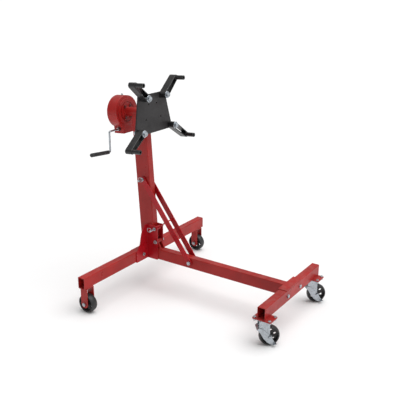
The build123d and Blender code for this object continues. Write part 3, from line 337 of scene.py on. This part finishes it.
FINISH = {
    "red_paint": painted("red_powder_coat", (0.355, 0.013, 0.011), 0.34, specular=0.26),
    "deep_red_paint": painted("deep_red_powder_coat", (0.40, 0.005, 0.011), 0.33, specular=0.26),
    "black_paint": painted("black_powder_coat", (0.026, 0.024, 0.025), 0.44, peel=0.35,
                           wear=0.62),
    "zinc": plated("zinc_plate", (0.44, 0.475, 0.51), 0.24),
    "bright_steel": machined("turned_steel", (0.52, 0.52, 0.53), 0.28),
    "bronze": machined("cast_bronze", (0.50, 0.31, 0.13), 0.34),
    "wheel_black": moulded("wheel_moulding", (0.018, 0.018, 0.019), 0.42, scuffed=0.8),
    "black_plastic": moulded("black_plastic", (0.016, 0.016, 0.017), 0.50, scuffed=0.5,
                             grain=1800.0),
}
ARM_FINISH = painted("gloss_black_enamel", (0.011, 0.011, 0.012), 0.30, peel=0.3, wear=0.54,
                     specular=0.4)
COVER_BOLT_FINISH = painted("overpainted_bolts", (0.13, 0.010, 0.010), 0.4, peel=0.3, wear=0.5)


def finish_of(node_name):
    if node_name.endswith("_arm"):
        return ARM_FINISH
    if node_name == "gearbox_bolts":
        return COVER_BOLT_FINISH
    return FINISH[SLOT_OF[node_name]]


for node_name, node in NODES.items():
    for slot in node.material_slots:
        slot.material = finish_of(node_name)


# ----------------------------------------------------------------------
# Places, in metres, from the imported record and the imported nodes' boxes
# ----------------------------------------------------------------------
def joint_place(name):
    return Vector(JOINTS[name]["pos_m"]), Vector(JOINTS[name]["axis"]).normalized()


def node_box(node):
    low_corner, high_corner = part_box(node)
    return Vector(low_corner), Vector(high_corner)


def at(x, y, z):
    return Vector((x, y, z))


head_centre, spindle_axis = joint_place("head_spin")
mast_axis = spindle_axis.cross(Y_AXIS)


def head_point(along, side, up):
    """Point given in millimetres along the spindle, to the left and up the mast."""
    return head_centre + (spindle_axis * along + Y_AXIS * side + mast_axis * up) * MM


def head_offsets(node):
    """A node's points, seen from the head's centre."""
    return [vert.co - head_centre for vert in NODES[node].data.vertices]


def spindle_reach(node):
    """How far back and forward a node lies along the spindle, in metres."""
    along = [offset.dot(spindle_axis) for offset in head_offsets(node)]
    return min(along), max(along)


def off_spindle(offset):
    return (offset - spindle_axis * offset.dot(spindle_axis)).length


# ----------------------------------------------------------------------
# Mesh making; sizes are in millimetres
# ----------------------------------------------------------------------
FASTENER_SMOOTHING = math.radians(40)
BEAD_SMOOTHING = math.radians(60)


def add_piece(name, body, slot_name, bm, smooth_angle):
    """Finishes a bmesh as a piece that rides on a body and takes a slot's material."""
    bmesh.ops.recalc_face_normals(bm, faces=bm.faces)
    mesh = bpy.data.meshes.new(name)
    bm.to_mesh(mesh)
    bm.free()
    piece = bpy.data.objects.new(name, mesh)
    bpy.context.scene.collection.objects.link(piece)
    for polygon in mesh.polygons:
        polygon.use_smooth = True
    mesh.set_sharp_from_angle(angle=smooth_angle)
    mesh.materials.append(FINISH[slot_name])
    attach(piece, body)
    return piece


def frame_at(origin, axis, towards=None):
    """Matrix whose Z runs along the axis, and whose X leans towards a direction."""
    axis = axis.normalized()
    lean = towards or (X_AXIS if abs(axis.x) < 0.9 else Y_AXIS)
    side = (lean - axis * lean.dot(axis)).normalized()
    matrix = Matrix((side, axis.cross(side), axis)).transposed().to_4x4()
    matrix.translation = origin
    return matrix


def join_rings(bm, lower, upper):
    for step in range(len(lower)):
        following = (step + 1) % len(lower)
        bm.faces.new((lower[step], lower[following], upper[following], upper[step]))


def add_turned(bm, matrix, rings, steps, ring_closed=False):
    """Joins rings of (radius, height) round Z; each value may be a function of the angle."""
    loops = []
    for radius, height in rings:
        loop = []
        for step in range(steps):
            angle = 2 * math.pi * step / steps
            r = radius(angle) if callable(radius) else radius
            z = height(angle) if callable(height) else height
            loop.append(bm.verts.new(matrix @ Vector((r * math.cos(angle) * MM,
                                                      r * math.sin(angle) * MM, z * MM))))
        loops.append(loop)
    for lower, upper in zip(loops, loops[1:]):
        join_rings(bm, lower, upper)
    if ring_closed:
        join_rings(bm, loops[-1], loops[0])
    else:
        bm.faces.new(loops[0][::-1])
        bm.faces.new(loops[-1])


# ----------------------------------------------------------------------
# Bolts, nuts and washers
# ----------------------------------------------------------------------
HEX_STEPS = 48
WASHER_STEPS = 64
RINGS_PER_PITCH = 6
PITCH = 0.25            # shares of the thread's outer radius
BOLT_THREAD_DEPTH = 0.13
NUT_THREAD_DEPTH = 0.02
TIP_TAPER = 0.18
CHAMFER_CIRCLE = 0.96   # shares of half the size across the flats
WASHER_FACE = 0.95
CHAMFER_SLOPE = math.tan(math.radians(30))
FILLET = 0.3
NUT_COUNTERSINK = 0.8
THREAD_SHORT_OF_NUT = 3
UNTHREADED_SHARE = 0.5  # of the shank of a bolt with no nut of its own
HEAD_TOLERANCE = 0.2    # how far a head's corners may differ in radius
NEAR_CENTRE = 0.5       # points nearer to the centre line than this aren't on the shank
LEAST_BORE = 3.0
BOLT_LENGTH = 1.35      # least length and most shank radius of a bolt, as shares of its radius
BOLT_SHANK = 0.8
THICKEST_WASHER = 4
SMALLEST_WASHER = 14


def hexagon(flats, turn):
    """Radius of a hexagon at an angle, from its size across the flats."""
    def radius(angle):
        local = (angle + turn) % (math.pi / 3) - math.pi / 6
        return flats / 2 / math.cos(local)
    return radius


def chamfered(flats, flat_height, turn):
    """Height of a hexagon's top edge where a 30 degree cone cuts its corners."""
    radius = hexagon(flats, turn)
    circle = flats / 2 * CHAMFER_CIRCLE

    def height(angle):
        return flat_height - max(0.0, radius(angle) - circle) * CHAMFER_SLOPE
    return height


def threaded(radius, start, end, pitch, depth):
    """Rings of a real helical thread between two heights, fading in at both ends."""
    rings = []
    count = max(2, int((end - start) / pitch * RINGS_PER_PITCH))
    for step in range(count + 1):
        z = start + (end - start) * step / count
        fade = min(1.0, (z - start) / pitch, (end - z) / pitch)

        def r(angle, z=z, fade=fade):
            phase = (z / pitch - angle / (2 * math.pi)) % 1.0
            return radius - depth * max(0.0, fade) * abs(2 * phase - 1)
        rings.append((r, z))
    return rings


def add_hex_bolt(bm, matrix, radius, flats, head, reach, thread_from, turn):
    """Bolt with its head above Z = 0: washer face, chamfered hexagon and threaded tip."""
    side = hexagon(flats, turn)
    half = flats / 2
    tip = TIP_TAPER * radius
    rings = [(radius - tip - 0.3, -reach), (radius - tip, -reach + 0.05)]
    rings += threaded(radius, -reach + tip, -thread_from, PITCH * radius,
                      BOLT_THREAD_DEPTH * radius)
    rings += [(radius, -thread_from + 0.1), (radius, -0.4), (radius + FILLET, 0.0),
              (half * 0.93, 0.0), (half * WASHER_FACE, 0.25),
              (side, lambda angle: 0.3 + 0.3 * (side(angle) - half)),
              (side, chamfered(flats, head, turn)), (half * CHAMFER_CIRCLE, head),
              (half * 0.70, head), (half * 0.62, head - 0.25), (0.8, head - 0.3)]
    add_turned(bm, matrix, rings, HEX_STEPS)


def add_hex_nut(bm, matrix, bore, flats, height, turn):
    """Nut above Z = 0: chamfered on both faces, countersunk and threaded inside."""
    side = hexagon(flats, turn)
    half = flats / 2
    inside = threaded(bore, 0.9, height - 0.9, PITCH * bore, -NUT_THREAD_DEPTH * bore)
    rings = [(bore + NUT_COUNTERSINK, 0.0), (half * WASHER_FACE, 0.0),
             (side, lambda angle: 0.15 + 0.55 * (side(angle) - half * CHAMFER_CIRCLE)),
             (side, chamfered(flats, height, turn)), (half * WASHER_FACE, height),
             (bore + NUT_COUNTERSINK, height), (bore, height - NUT_COUNTERSINK)]
    rings += inside[::-1] + [(bore, NUT_COUNTERSINK)]
    add_turned(bm, matrix, rings, HEX_STEPS, ring_closed=True)


def add_washer(bm, matrix, inner, outer, thickness):
    rim = thickness * 0.25
    rings = [(inner + rim, 0), (outer - rim, 0), (outer, rim), (outer, thickness - rim),
             (outer - rim, thickness), (inner + rim, thickness), (inner, thickness - rim),
             (inner, rim)]
    add_turned(bm, matrix, rings, WASHER_STEPS, ring_closed=True)


def islands(node):
    """Connected solids of a CAD node, as lists of points, with split edges rejoined."""
    bm = bmesh.new()
    bm.from_mesh(NODES[node].data)
    bmesh.ops.remove_doubles(bm, verts=bm.verts, dist=1e-6)
    seen, found = set(), []
    for vert in bm.verts:
        if vert in seen:
            continue
        stack, group = [vert], []
        seen.add(vert)
        while stack:
            current = stack.pop()
            group.append(current.co.copy())
            for edge in current.link_edges:
                other = edge.other_vert(current)
                if other not in seen:
                    seen.add(other)
                    stack.append(other)
        found.append(group)
    bm.free()
    return found


# out is the way its head faces, low and high are in metres along it, and radii in millimetres
Solid = namedtuple("Solid", "out centre low high radii points")


def measured(points, out):
    """A turned or hexagonal solid, measured round its centre line."""
    along = [point.dot(out) for point in points]
    flat = [point - out * point.dot(out) for point in points]
    centre = Vector([(min(p[i] for p in flat) + max(p[i] for p in flat)) / 2 for i in range(3)])
    radii = [(point - centre).length / MM for point in flat]
    return Solid(out, centre, min(along), max(along), radii, points)


def length_of(solid):
    return (solid.high - solid.low) / MM


def is_bolt(solid):
    """A bolt is long for its width, and the end away from its head is thinner."""
    widest = max(solid.radii)
    far_end = [r for point, r in zip(solid.points, solid.radii)
               if point.dot(solid.out) < solid.low + 0.5 * MM]
    return length_of(solid) > BOLT_LENGTH * widest and max(far_end) < BOLT_SHANK * widest


def is_washer(solid):
    """A washer is thin, wide and round: it has one outer radius and one bore."""
    return (length_of(solid) < THICKEST_WASHER and max(solid.radii) > SMALLEST_WASHER
            and len(set(round(r, 1) for r in solid.radii)) <= 2)


def hex_turn(points, matrix):
    """Angle that sets a generated hexagon's corners on those of the CAD solid."""
    local = [matrix.inverted() @ point for point in points]
    corner = max(local, key=lambda point: point.x ** 2 + point.y ** 2)
    return -math.atan2(corner.y, corner.x)


def flats_of(solid):
    return 2 * max(solid.radii) * math.cos(math.pi / 6)


def add_bolt_for(bm, bolt, bored):
    """Detailed bolt on a CAD bolt's place; its thread starts just short of its nut."""
    widest = max(bolt.radii)
    head_low = min(point.dot(bolt.out) for point, r in zip(bolt.points, bolt.radii)
                   if r > widest - HEAD_TOLERANCE)
    matrix = frame_at(bolt.centre + bolt.out * head_low, bolt.out)
    shank = min(r for r in bolt.radii if r > NEAR_CENTRE)
    carried = [solid for solid in bored
               if (solid.centre - bolt.centre).length < MM and solid.out == bolt.out
               and bolt.low - MM < solid.low < bolt.high]
    if carried:
        thread_from = (head_low - max(solid.high for solid in carried)) / MM - THREAD_SHORT_OF_NUT
    else:
        thread_from = (head_low - bolt.low) / MM * UNTHREADED_SHARE
    add_hex_bolt(bm, matrix, shank, flats_of(bolt), (bolt.high - head_low) / MM,
                 (head_low - bolt.low) / MM, thread_from, hex_turn(bolt.points, matrix))


def middle_of(points):
    total = Vector((0, 0, 0))
    for point in points:
        total += point
    return total / len(points)


def detail_bolts(node, axis, body, side_outward=False):
    """Replaces a node of bolts and nuts, heads along the axis, with detailed ones.

    With side_outward, the axis is the left side's, and the right side's heads face the other way.
    """
    solids = []
    for points in islands(node):
        out = -axis if side_outward and middle_of(points).y < 0 else axis
        solids.append(measured(points, out))
    # a nut's or washer's smallest radius is its bore
    bored = [solid for solid in solids if min(solid.radii) > LEAST_BORE and not is_bolt(solid)]
    bm = bmesh.new()
    for solid in solids:
        if is_bolt(solid):
            add_bolt_for(bm, solid, bored)
            continue
        matrix = frame_at(solid.centre + solid.out * solid.low, solid.out)
        inner = min(solid.radii)
        if is_washer(solid):
            add_washer(bm, matrix, inner, max(solid.radii), length_of(solid))
        else:
            add_hex_nut(bm, matrix, inner, flats_of(solid), length_of(solid),
                        hex_turn(solid.points, matrix))
    piece = add_piece(node + "_detail", body, "zinc", bm, FASTENER_SMOOTHING)
    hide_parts(node)


detail_bolts("leg_bolts", X_AXIS, "base")
detail_bolts("hinge_bolt", -Y_AXIS, "base")
detail_bolts("rear_axle_bolts", Y_AXIS, "base", side_outward=True)
detail_bolts("crossbar_bolts", X_AXIS, "beam")
detail_bolts("brace_bolt", -Y_AXIS, "beam")
detail_bolts("caster_bolts", Z_AXIS, "beam")
for side in SIDES:
    caster_axis = joint_place(side + "_caster_wheel_spin")[1]
    detail_bolts(side + "_caster_axle", -caster_axis, "caster_" + side)
    for level in LEVELS:
        detail_bolts(f"{level}_{side}_arm_bolt", spindle_axis, f"{level}_{side}_clamp")


# ----------------------------------------------------------------------
# Weld beads; bead radii are in millimetres
# ----------------------------------------------------------------------
BEAD_SIDES = 10
BEAD_SPACING = 1.1
RIPPLE_DEPTH = 0.10
RIPPLE_RATE = 2.1
RIPPLE_JITTER = 0.04
RIPPLE_OFFSET_MOST = 6
END_SIZE = 0.35
CRESCENT = 0.35
CIRCLE_STEP = 6.0
FINE_BEAD = 1.8
SLIM_BEAD = 2.0
LIGHT_BEAD = 2.2
BEAD = 2.4
HEAVY_BEAD = 2.6


def turned_to(loop, place):
    """A ring's vertices, starting with the one nearest to a place."""
    shift = min(range(len(loop)), key=lambda k: (loop[k].co - place).length)
    return loop[shift:] + loop[:shift]


def bead_path(points, closed):
    """Divides the runs between points into steps of the bead's spacing."""
    path = []
    for index in range(len(points) + (0 if closed else -1)):
        start, end = points[index], points[(index + 1) % len(points)]
        steps = max(1, int((end - start).length / (BEAD_SPACING * MM)))
        path += [start.lerp(end, step / steps) for step in range(steps)]
    if not closed:
        path.append(points[-1])
    return path


def add_bead(bm, points, radius, closed=False):
    """Rippled weld bead along a path: overlapping crescent ripples and tapered ends."""
    path = bead_path(points, closed)
    total = len(path)
    loops = []
    ripple_offset = chance.uniform(0, RIPPLE_OFFSET_MOST)
    for index, centre in enumerate(path):
        ahead = path[(index + 1) % total] if closed or index + 1 < total else centre
        behind = path[index - 1] if closed or index > 0 else centre
        tangent = (ahead - behind).normalized()
        side = tangent.orthogonal().normalized()
        other = tangent.cross(side)
        ripple = (1 + RIPPLE_DEPTH * math.sin((index + ripple_offset) * RIPPLE_RATE)
                  + chance.uniform(-RIPPLE_JITTER, RIPPLE_JITTER))
        taper = 1.0
        if not closed:
            from_end = min(index, total - 1 - index) * BEAD_SPACING / radius
            taper = min(1.0, END_SIZE + (1 - END_SIZE) * from_end)
        size = radius * ripple * taper * MM
        loop = []
        for step in range(BEAD_SIDES):
            a = 2 * math.pi * step / BEAD_SIDES
            loop.append(bm.verts.new(centre + (side * math.cos(a) + other * math.sin(a)) * size
                                     + tangent * (CRESCENT * MM * math.cos(2 * a))))
        loops.append(loop)
    # each ring starts nearest to the last ring's first vertex, so that the skin isn't twisted
    for index in range(1, total):
        loops[index] = turned_to(loops[index], loops[index - 1][0].co)
    for lower, upper in zip(loops, loops[1:]):
        join_rings(bm, lower, upper)
    if closed:
        join_rings(bm, loops[-1], turned_to(loops[0], loops[-1][0].co))
    else:
        bm.faces.new(loops[0][::-1])
        bm.faces.new(loops[-1])


def weld(name, body, slot_name, runs):
    """One piece of weld beads; each run is (points, radius in mm, closed)."""
    bm = bmesh.new()
    for points, radius, closed in runs:
        add_bead(bm, points, radius, closed)
    add_piece(name, body, slot_name, bm, BEAD_SMOOTHING)


def straight(start, end, radius):
    """A straight run for weld()."""
    return [at(*start), at(*end)], radius, False


def circle_points(centre, axis, radius, start=0.0, end=360.0, towards=None):
    """Points on an arc from start to end in degrees, or all round."""
    matrix = frame_at(centre, axis, towards)
    count = max(3, int(abs(end - start) / CIRCLE_STEP))
    whole = abs(end - start) >= 359.9
    points = []
    for k in range(count if whole else count + 1):
        angle = math.radians(start + (end - start) * k / count)
        points.append(matrix @ Vector((radius * MM * math.cos(angle),
                                       radius * MM * math.sin(angle), 0)))
    return points


def fork_welds():
    """Round each rear fork's top, where it meets the leg above it."""
    runs = []
    for side in SIDES:
        fork_low, fork_high = node_box(side + "_rear_fork")
        z = fork_high.z - 0.5 * MM
        for y, inward in ((fork_low.y, 1), (fork_high.y, -1)):
            y += inward * 1.5 * MM
            runs.append(straight((fork_low.x + 3 * MM, y, z - 1.2 * MM),
                                 (fork_high.x - 3 * MM, y, z - 1.2 * MM), BEAD))
        for x, inward in ((fork_low.x, 1), (fork_high.x, -1)):
            x += inward * 1.0 * MM
            runs.append(straight((x, fork_low.y + 6 * MM, z), (x, fork_high.y - 6 * MM, z),
                                 LIGHT_BEAD))
    weld("rear_fork_welds", "base", "red_paint", runs)


def mast_front_at(height):
    """X of the mast's front face at a height: it leans back from its foot."""
    on_face = head_centre + spindle_axis * spindle_reach("mast")[1]
    return on_face.x + (height - on_face.z) * mast_axis.x / mast_axis.z


def leg_welds():
    """Along the leg's top beside the mast, along the bracket's top and up the mast's front."""
    runs = []
    mast_side = node_box("mast")[1].y
    for side, sign in (("left", 1), ("right", -1)):
        leg_low, leg_high = node_box(side + "_leg")
        bracket_top = node_box(side + "_bracket")[1].z
        y = mast_side * sign
        runs.append(straight((leg_low.x + 9 * MM, y, leg_high.z),
                             (leg_high.x - 4 * MM, y, leg_high.z), BEAD))
        outside = y + sign * 0.6 * MM
        runs.append(straight((leg_high.x + 6 * MM, outside, bracket_top),
                             (mast_front_at(bracket_top) - 5 * MM, outside, bracket_top),
                             LIGHT_BEAD))
        inside = y - sign * 1.2 * MM
        low_z, high_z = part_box("hinge_sleeve")[1][2] + 8 * MM, bracket_top - 36 * MM
        runs.append(straight((mast_front_at(low_z) - 1.5 * MM, inside, low_z),
                             (mast_front_at(high_z) - 1.5 * MM, inside, high_z), SLIM_BEAD))
    weld("mast_foot_welds", "base", "deep_red_paint", runs)


LUG_INNER_FACE = 9 * MM


def lug_welds():
    """Along both faces of each hinge lug, on the beam's top."""
    lug_low, lug_high = node_box("hinge_lugs")
    beam_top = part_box("main_beam")[1][2]
    runs = []
    for outer, sign in ((lug_low.y, -1), (lug_high.y, 1)):
        for y, radius in ((outer, LIGHT_BEAD), (sign * LUG_INNER_FACE, FINE_BEAD)):
            runs.append(straight((lug_low.x + 4 * MM, y, beam_top),
                                 (lug_high.x - 3 * MM, y, beam_top), radius))
    weld("hinge_lug_welds", "beam", "red_paint", runs)


def socket_welds():
    """Round the beam's front end, where it meets the crossbar socket."""
    beam_low, beam_high = node_box("main_beam")
    inset = 3 * MM
    x = beam_high.x
    runs = []
    for z in (beam_low.z, beam_high.z):
        runs.append(straight((x, beam_low.y + inset, z), (x, beam_high.y - inset, z), HEAVY_BEAD))
    for y in (beam_low.y, beam_high.y):
        runs.append(straight((x, y, beam_low.z + inset), (x, y, beam_high.z - inset), HEAVY_BEAD))
    weld("socket_welds", "beam", "red_paint", runs)


MOUNTING_WELD_LENGTH = 62 * MM


def mounting_welds():
    """Along the crossbar's sides and across its ends, on the caster mounting plates."""
    bar_low, bar_high = node_box("front_crossbar")
    z = node_box("caster_mounting_plates")[1].z
    runs = []
    for sign in (-1, 1):
        inner = sign * (bar_high.y - MOUNTING_WELD_LENGTH)
        outer = sign * (bar_high.y - 3 * MM)
        for x in (bar_low.x + 0.5 * MM, bar_high.x - 0.5 * MM):
            runs.append(straight((x, inner, z + 0.4 * MM), (x, outer, z + 0.4 * MM), HEAVY_BEAD))
        end = sign * bar_high.y
        runs.append(straight((bar_low.x + 4 * MM, end, z), (bar_high.x - 4 * MM, end, z),
                             LIGHT_BEAD))
    weld("mounting_plate_welds", "beam", "red_paint", runs)


HOUSING_TUBE_RADIUS = 23.0
WIDER_THAN_TUBE = 40 * MM


def housing_welds():
    """Where the spindle housing lies in the mast's top, and round its gearbox flange."""
    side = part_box("mast")[1][1] / MM
    drop = math.sqrt(HOUSING_TUBE_RADIUS ** 2 - side ** 2)
    depth = spindle_reach("mast")[1] / MM
    runs = []
    for sign in (-1, 1):
        runs.append(([head_point(-depth + 3, sign * side, -drop),
                      head_point(depth - 3, sign * side, -drop)], LIGHT_BEAD, False))
    edge = math.degrees(math.asin(drop / HOUSING_TUBE_RADIUS))
    for along in (-depth, depth):
        runs.append((circle_points(head_point(along, 0, 0), spindle_axis,
                                   HOUSING_TUBE_RADIUS + 0.3, 180 + edge + 6, 360 - edge - 6,
                                   Y_AXIS), LIGHT_BEAD, False))
    flange_front = max(offset.dot(spindle_axis) for offset in head_offsets("spindle_housing")
                       if off_spindle(offset) > WIDER_THAN_TUBE) / MM
    runs.append((circle_points(head_point(flange_front, 0, 0), spindle_axis,
                               HOUSING_TUBE_RADIUS + 0.2), BEAD, True))
    weld("spindle_housing_welds", "base", "red_paint", runs)


def flange_weld():
    """Round the spindle's flange, against the faceplate."""
    offsets = head_offsets("spindle_flange")
    front = max(offset.dot(spindle_axis) for offset in offsets) / MM
    radius = max(off_spindle(offset) for offset in offsets) / MM
    weld("spindle_flange_weld", "head", "black_paint",
         [(circle_points(head_point(front - 0.6, 0, 0), spindle_axis, radius + 0.4), BEAD, True)])


ARM_DEPTH = 38.0
SLEEVE_BEAD_CIRCLE = 11.2


def sleeve_welds():
    """Round each sleeve, where it leaves the front of its arm."""
    for level in LEVELS:
        for side in SIDES:
            mount = MOUNTS[f"{level}_{side}_sleeve"]
            half = mount["dims"]["length_mm"] / 2
            root = Vector(mount["pos_m"]) - spindle_axis * (half - ARM_DEPTH) * MM
            weld(f"{level}_{side}_sleeve_weld", f"{level}_{side}_reach", "black_paint",
                 [(circle_points(root, spindle_axis, SLEEVE_BEAD_CIRCLE), SLIM_BEAD, True)])


fork_welds()
leg_welds()
lug_welds()
socket_welds()
mounting_welds()
housing_welds()
flange_weld()
sleeve_welds()


# ----------------------------------------------------------------------
# Gearbox seam and caster races
# ----------------------------------------------------------------------
SEAM_DROP = 6
RACE_STEPS = 64
RACE_BORE = 23.0


def drum_seam():
    """Rolled drum's butt weld, a bead along its rim near mid height on the right."""
    start = spindle_reach("gearbox_housing")[0] / MM
    end = spindle_reach("gearbox_cover")[0] / MM - 0.5
    radius = max(off_spindle(offset) for offset in head_offsets("gearbox_housing")
                 if offset.dot(mast_axis) > 0) / MM
    side = -radius + 0.6
    bm = bmesh.new()
    add_bead(bm, [head_point(start + 3, side, -SEAM_DROP), head_point(end, side, -SEAM_DROP)],
             BEAD)
    add_piece("drum_seam", "base", "red_paint", bm, BEAD_SMOOTHING)


def caster_races():
    """Pressed race cup in the gap between each caster's top plate and its fork."""
    for side in SIDES:
        pivot, _ = joint_place(side + "_caster_swivel")
        crown_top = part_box(side + "_caster_fork")[1][2]
        plate_bottom = min(vert.co.z for vert in NODES["caster_top_plates"].data.vertices
                           if vert.co.z > crown_top + 3 * MM)
        matrix = frame_at(Vector((pivot.x, pivot.y, crown_top)), Z_AXIS)
        gap = (plate_bottom - crown_top) / MM
        rings = [(RACE_BORE, gap + 0.2), (31.0, gap + 0.2), (31.4, gap - 0.6), (29.5, gap - 2.2),
                 (26.8, 1.4), (26.2, 0.7), (RACE_BORE, 0.7)]
        bm = bmesh.new()
        add_turned(bm, matrix, rings, RACE_STEPS, ring_closed=True)
        add_piece(side + "_race_cup", "beam", "zinc", bm, FASTENER_SMOOTHING)


drum_seam()
caster_races()


# ----------------------------------------------------------------------
# Floor and light
# ----------------------------------------------------------------------
FLOOR_REACH = 90.0
FLOOR_DARK = (0.86, 0.86, 0.86)
FLOOR_PALE = (0.90, 0.90, 0.90)
SUN_SPREAD = math.radians(60)
DOME_RANGE = (("From Min", -0.1), ("From Max", 0.8), ("To Min", 0.2), ("To Max", 0.6))
BACKGROUND_SEEN = 1.0


def make_floor():
    mesh = bpy.data.meshes.new("floor")
    corners = [(-FLOOR_REACH, -FLOOR_REACH, 0), (FLOOR_REACH, -FLOOR_REACH, 0),
               (FLOOR_REACH, FLOOR_REACH, 0), (-FLOOR_REACH, FLOOR_REACH, 0)]
    mesh.from_pydata(corners, [], [(0, 1, 2, 3)])
    floor = bpy.data.objects.new("floor", mesh)
    bpy.context.scene.collection.objects.link(floor)
    surface = Shader("pale_floor")
    tone = surface.mix(surface.noise(1.5), shade(FLOOR_DARK), shade(FLOOR_PALE))
    surface.set(Base_Color=tone, Roughness=0.7, Specular_IOR_Level=0.2)
    mesh.materials.append(surface.material)


def add_sun(name, direction, strength):
    """Soft directional light that comes from the given direction."""
    lamp = bpy.data.lights.new(name, "SUN")
    lamp.energy = strength
    lamp.angle = SUN_SPREAD
    lamp_object = bpy.data.objects.new(name, lamp)
    bpy.context.scene.collection.objects.link(lamp_object)
    lamp_object.rotation_mode = "QUATERNION"
    lamp_object.rotation_quaternion = Vector(direction).to_track_quat("Z", "Y")


def make_world():
    """White studio: it lights more from above, and looks plain white behind the floor."""
    world = bpy.data.worlds.new("studio")
    bpy.context.scene.world = world
    world.use_nodes = True
    sky = world.node_tree
    direction = sky.nodes.new("ShaderNodeTexCoord").outputs["Generated"]
    split = sky.nodes.new("ShaderNodeSeparateXYZ")
    sky.links.new(direction, split.inputs["Vector"])
    dome = sky.nodes.new("ShaderNodeMapRange")
    for socket, number in DOME_RANGE:
        dome.inputs[socket].default_value = number
    sky.links.new(split.outputs["Z"], dome.inputs["Value"])
    seen = sky.nodes.new("ShaderNodeMix")
    from_camera = sky.nodes.new("ShaderNodeLightPath").outputs["Is Camera Ray"]
    sky.links.new(from_camera, seen.inputs["Factor"])
    sky.links.new(dome.outputs["Result"], seen.inputs["A"])
    seen.inputs["B"].default_value = BACKGROUND_SEEN
    sky.links.new(seen.outputs["Result"], sky.nodes["Background"].inputs["Strength"])
    sky.nodes["Background"].inputs["Color"].default_value = (1, 1, 1, 1)


make_floor()
add_sun("overhead", (0.25, 0.20, 1.0), 2.15)
add_sun("front_fill", (1.0, 0.15, 0.45), 0.42)
make_world()
bpy.context.scene.view_settings.view_transform = "Standard"
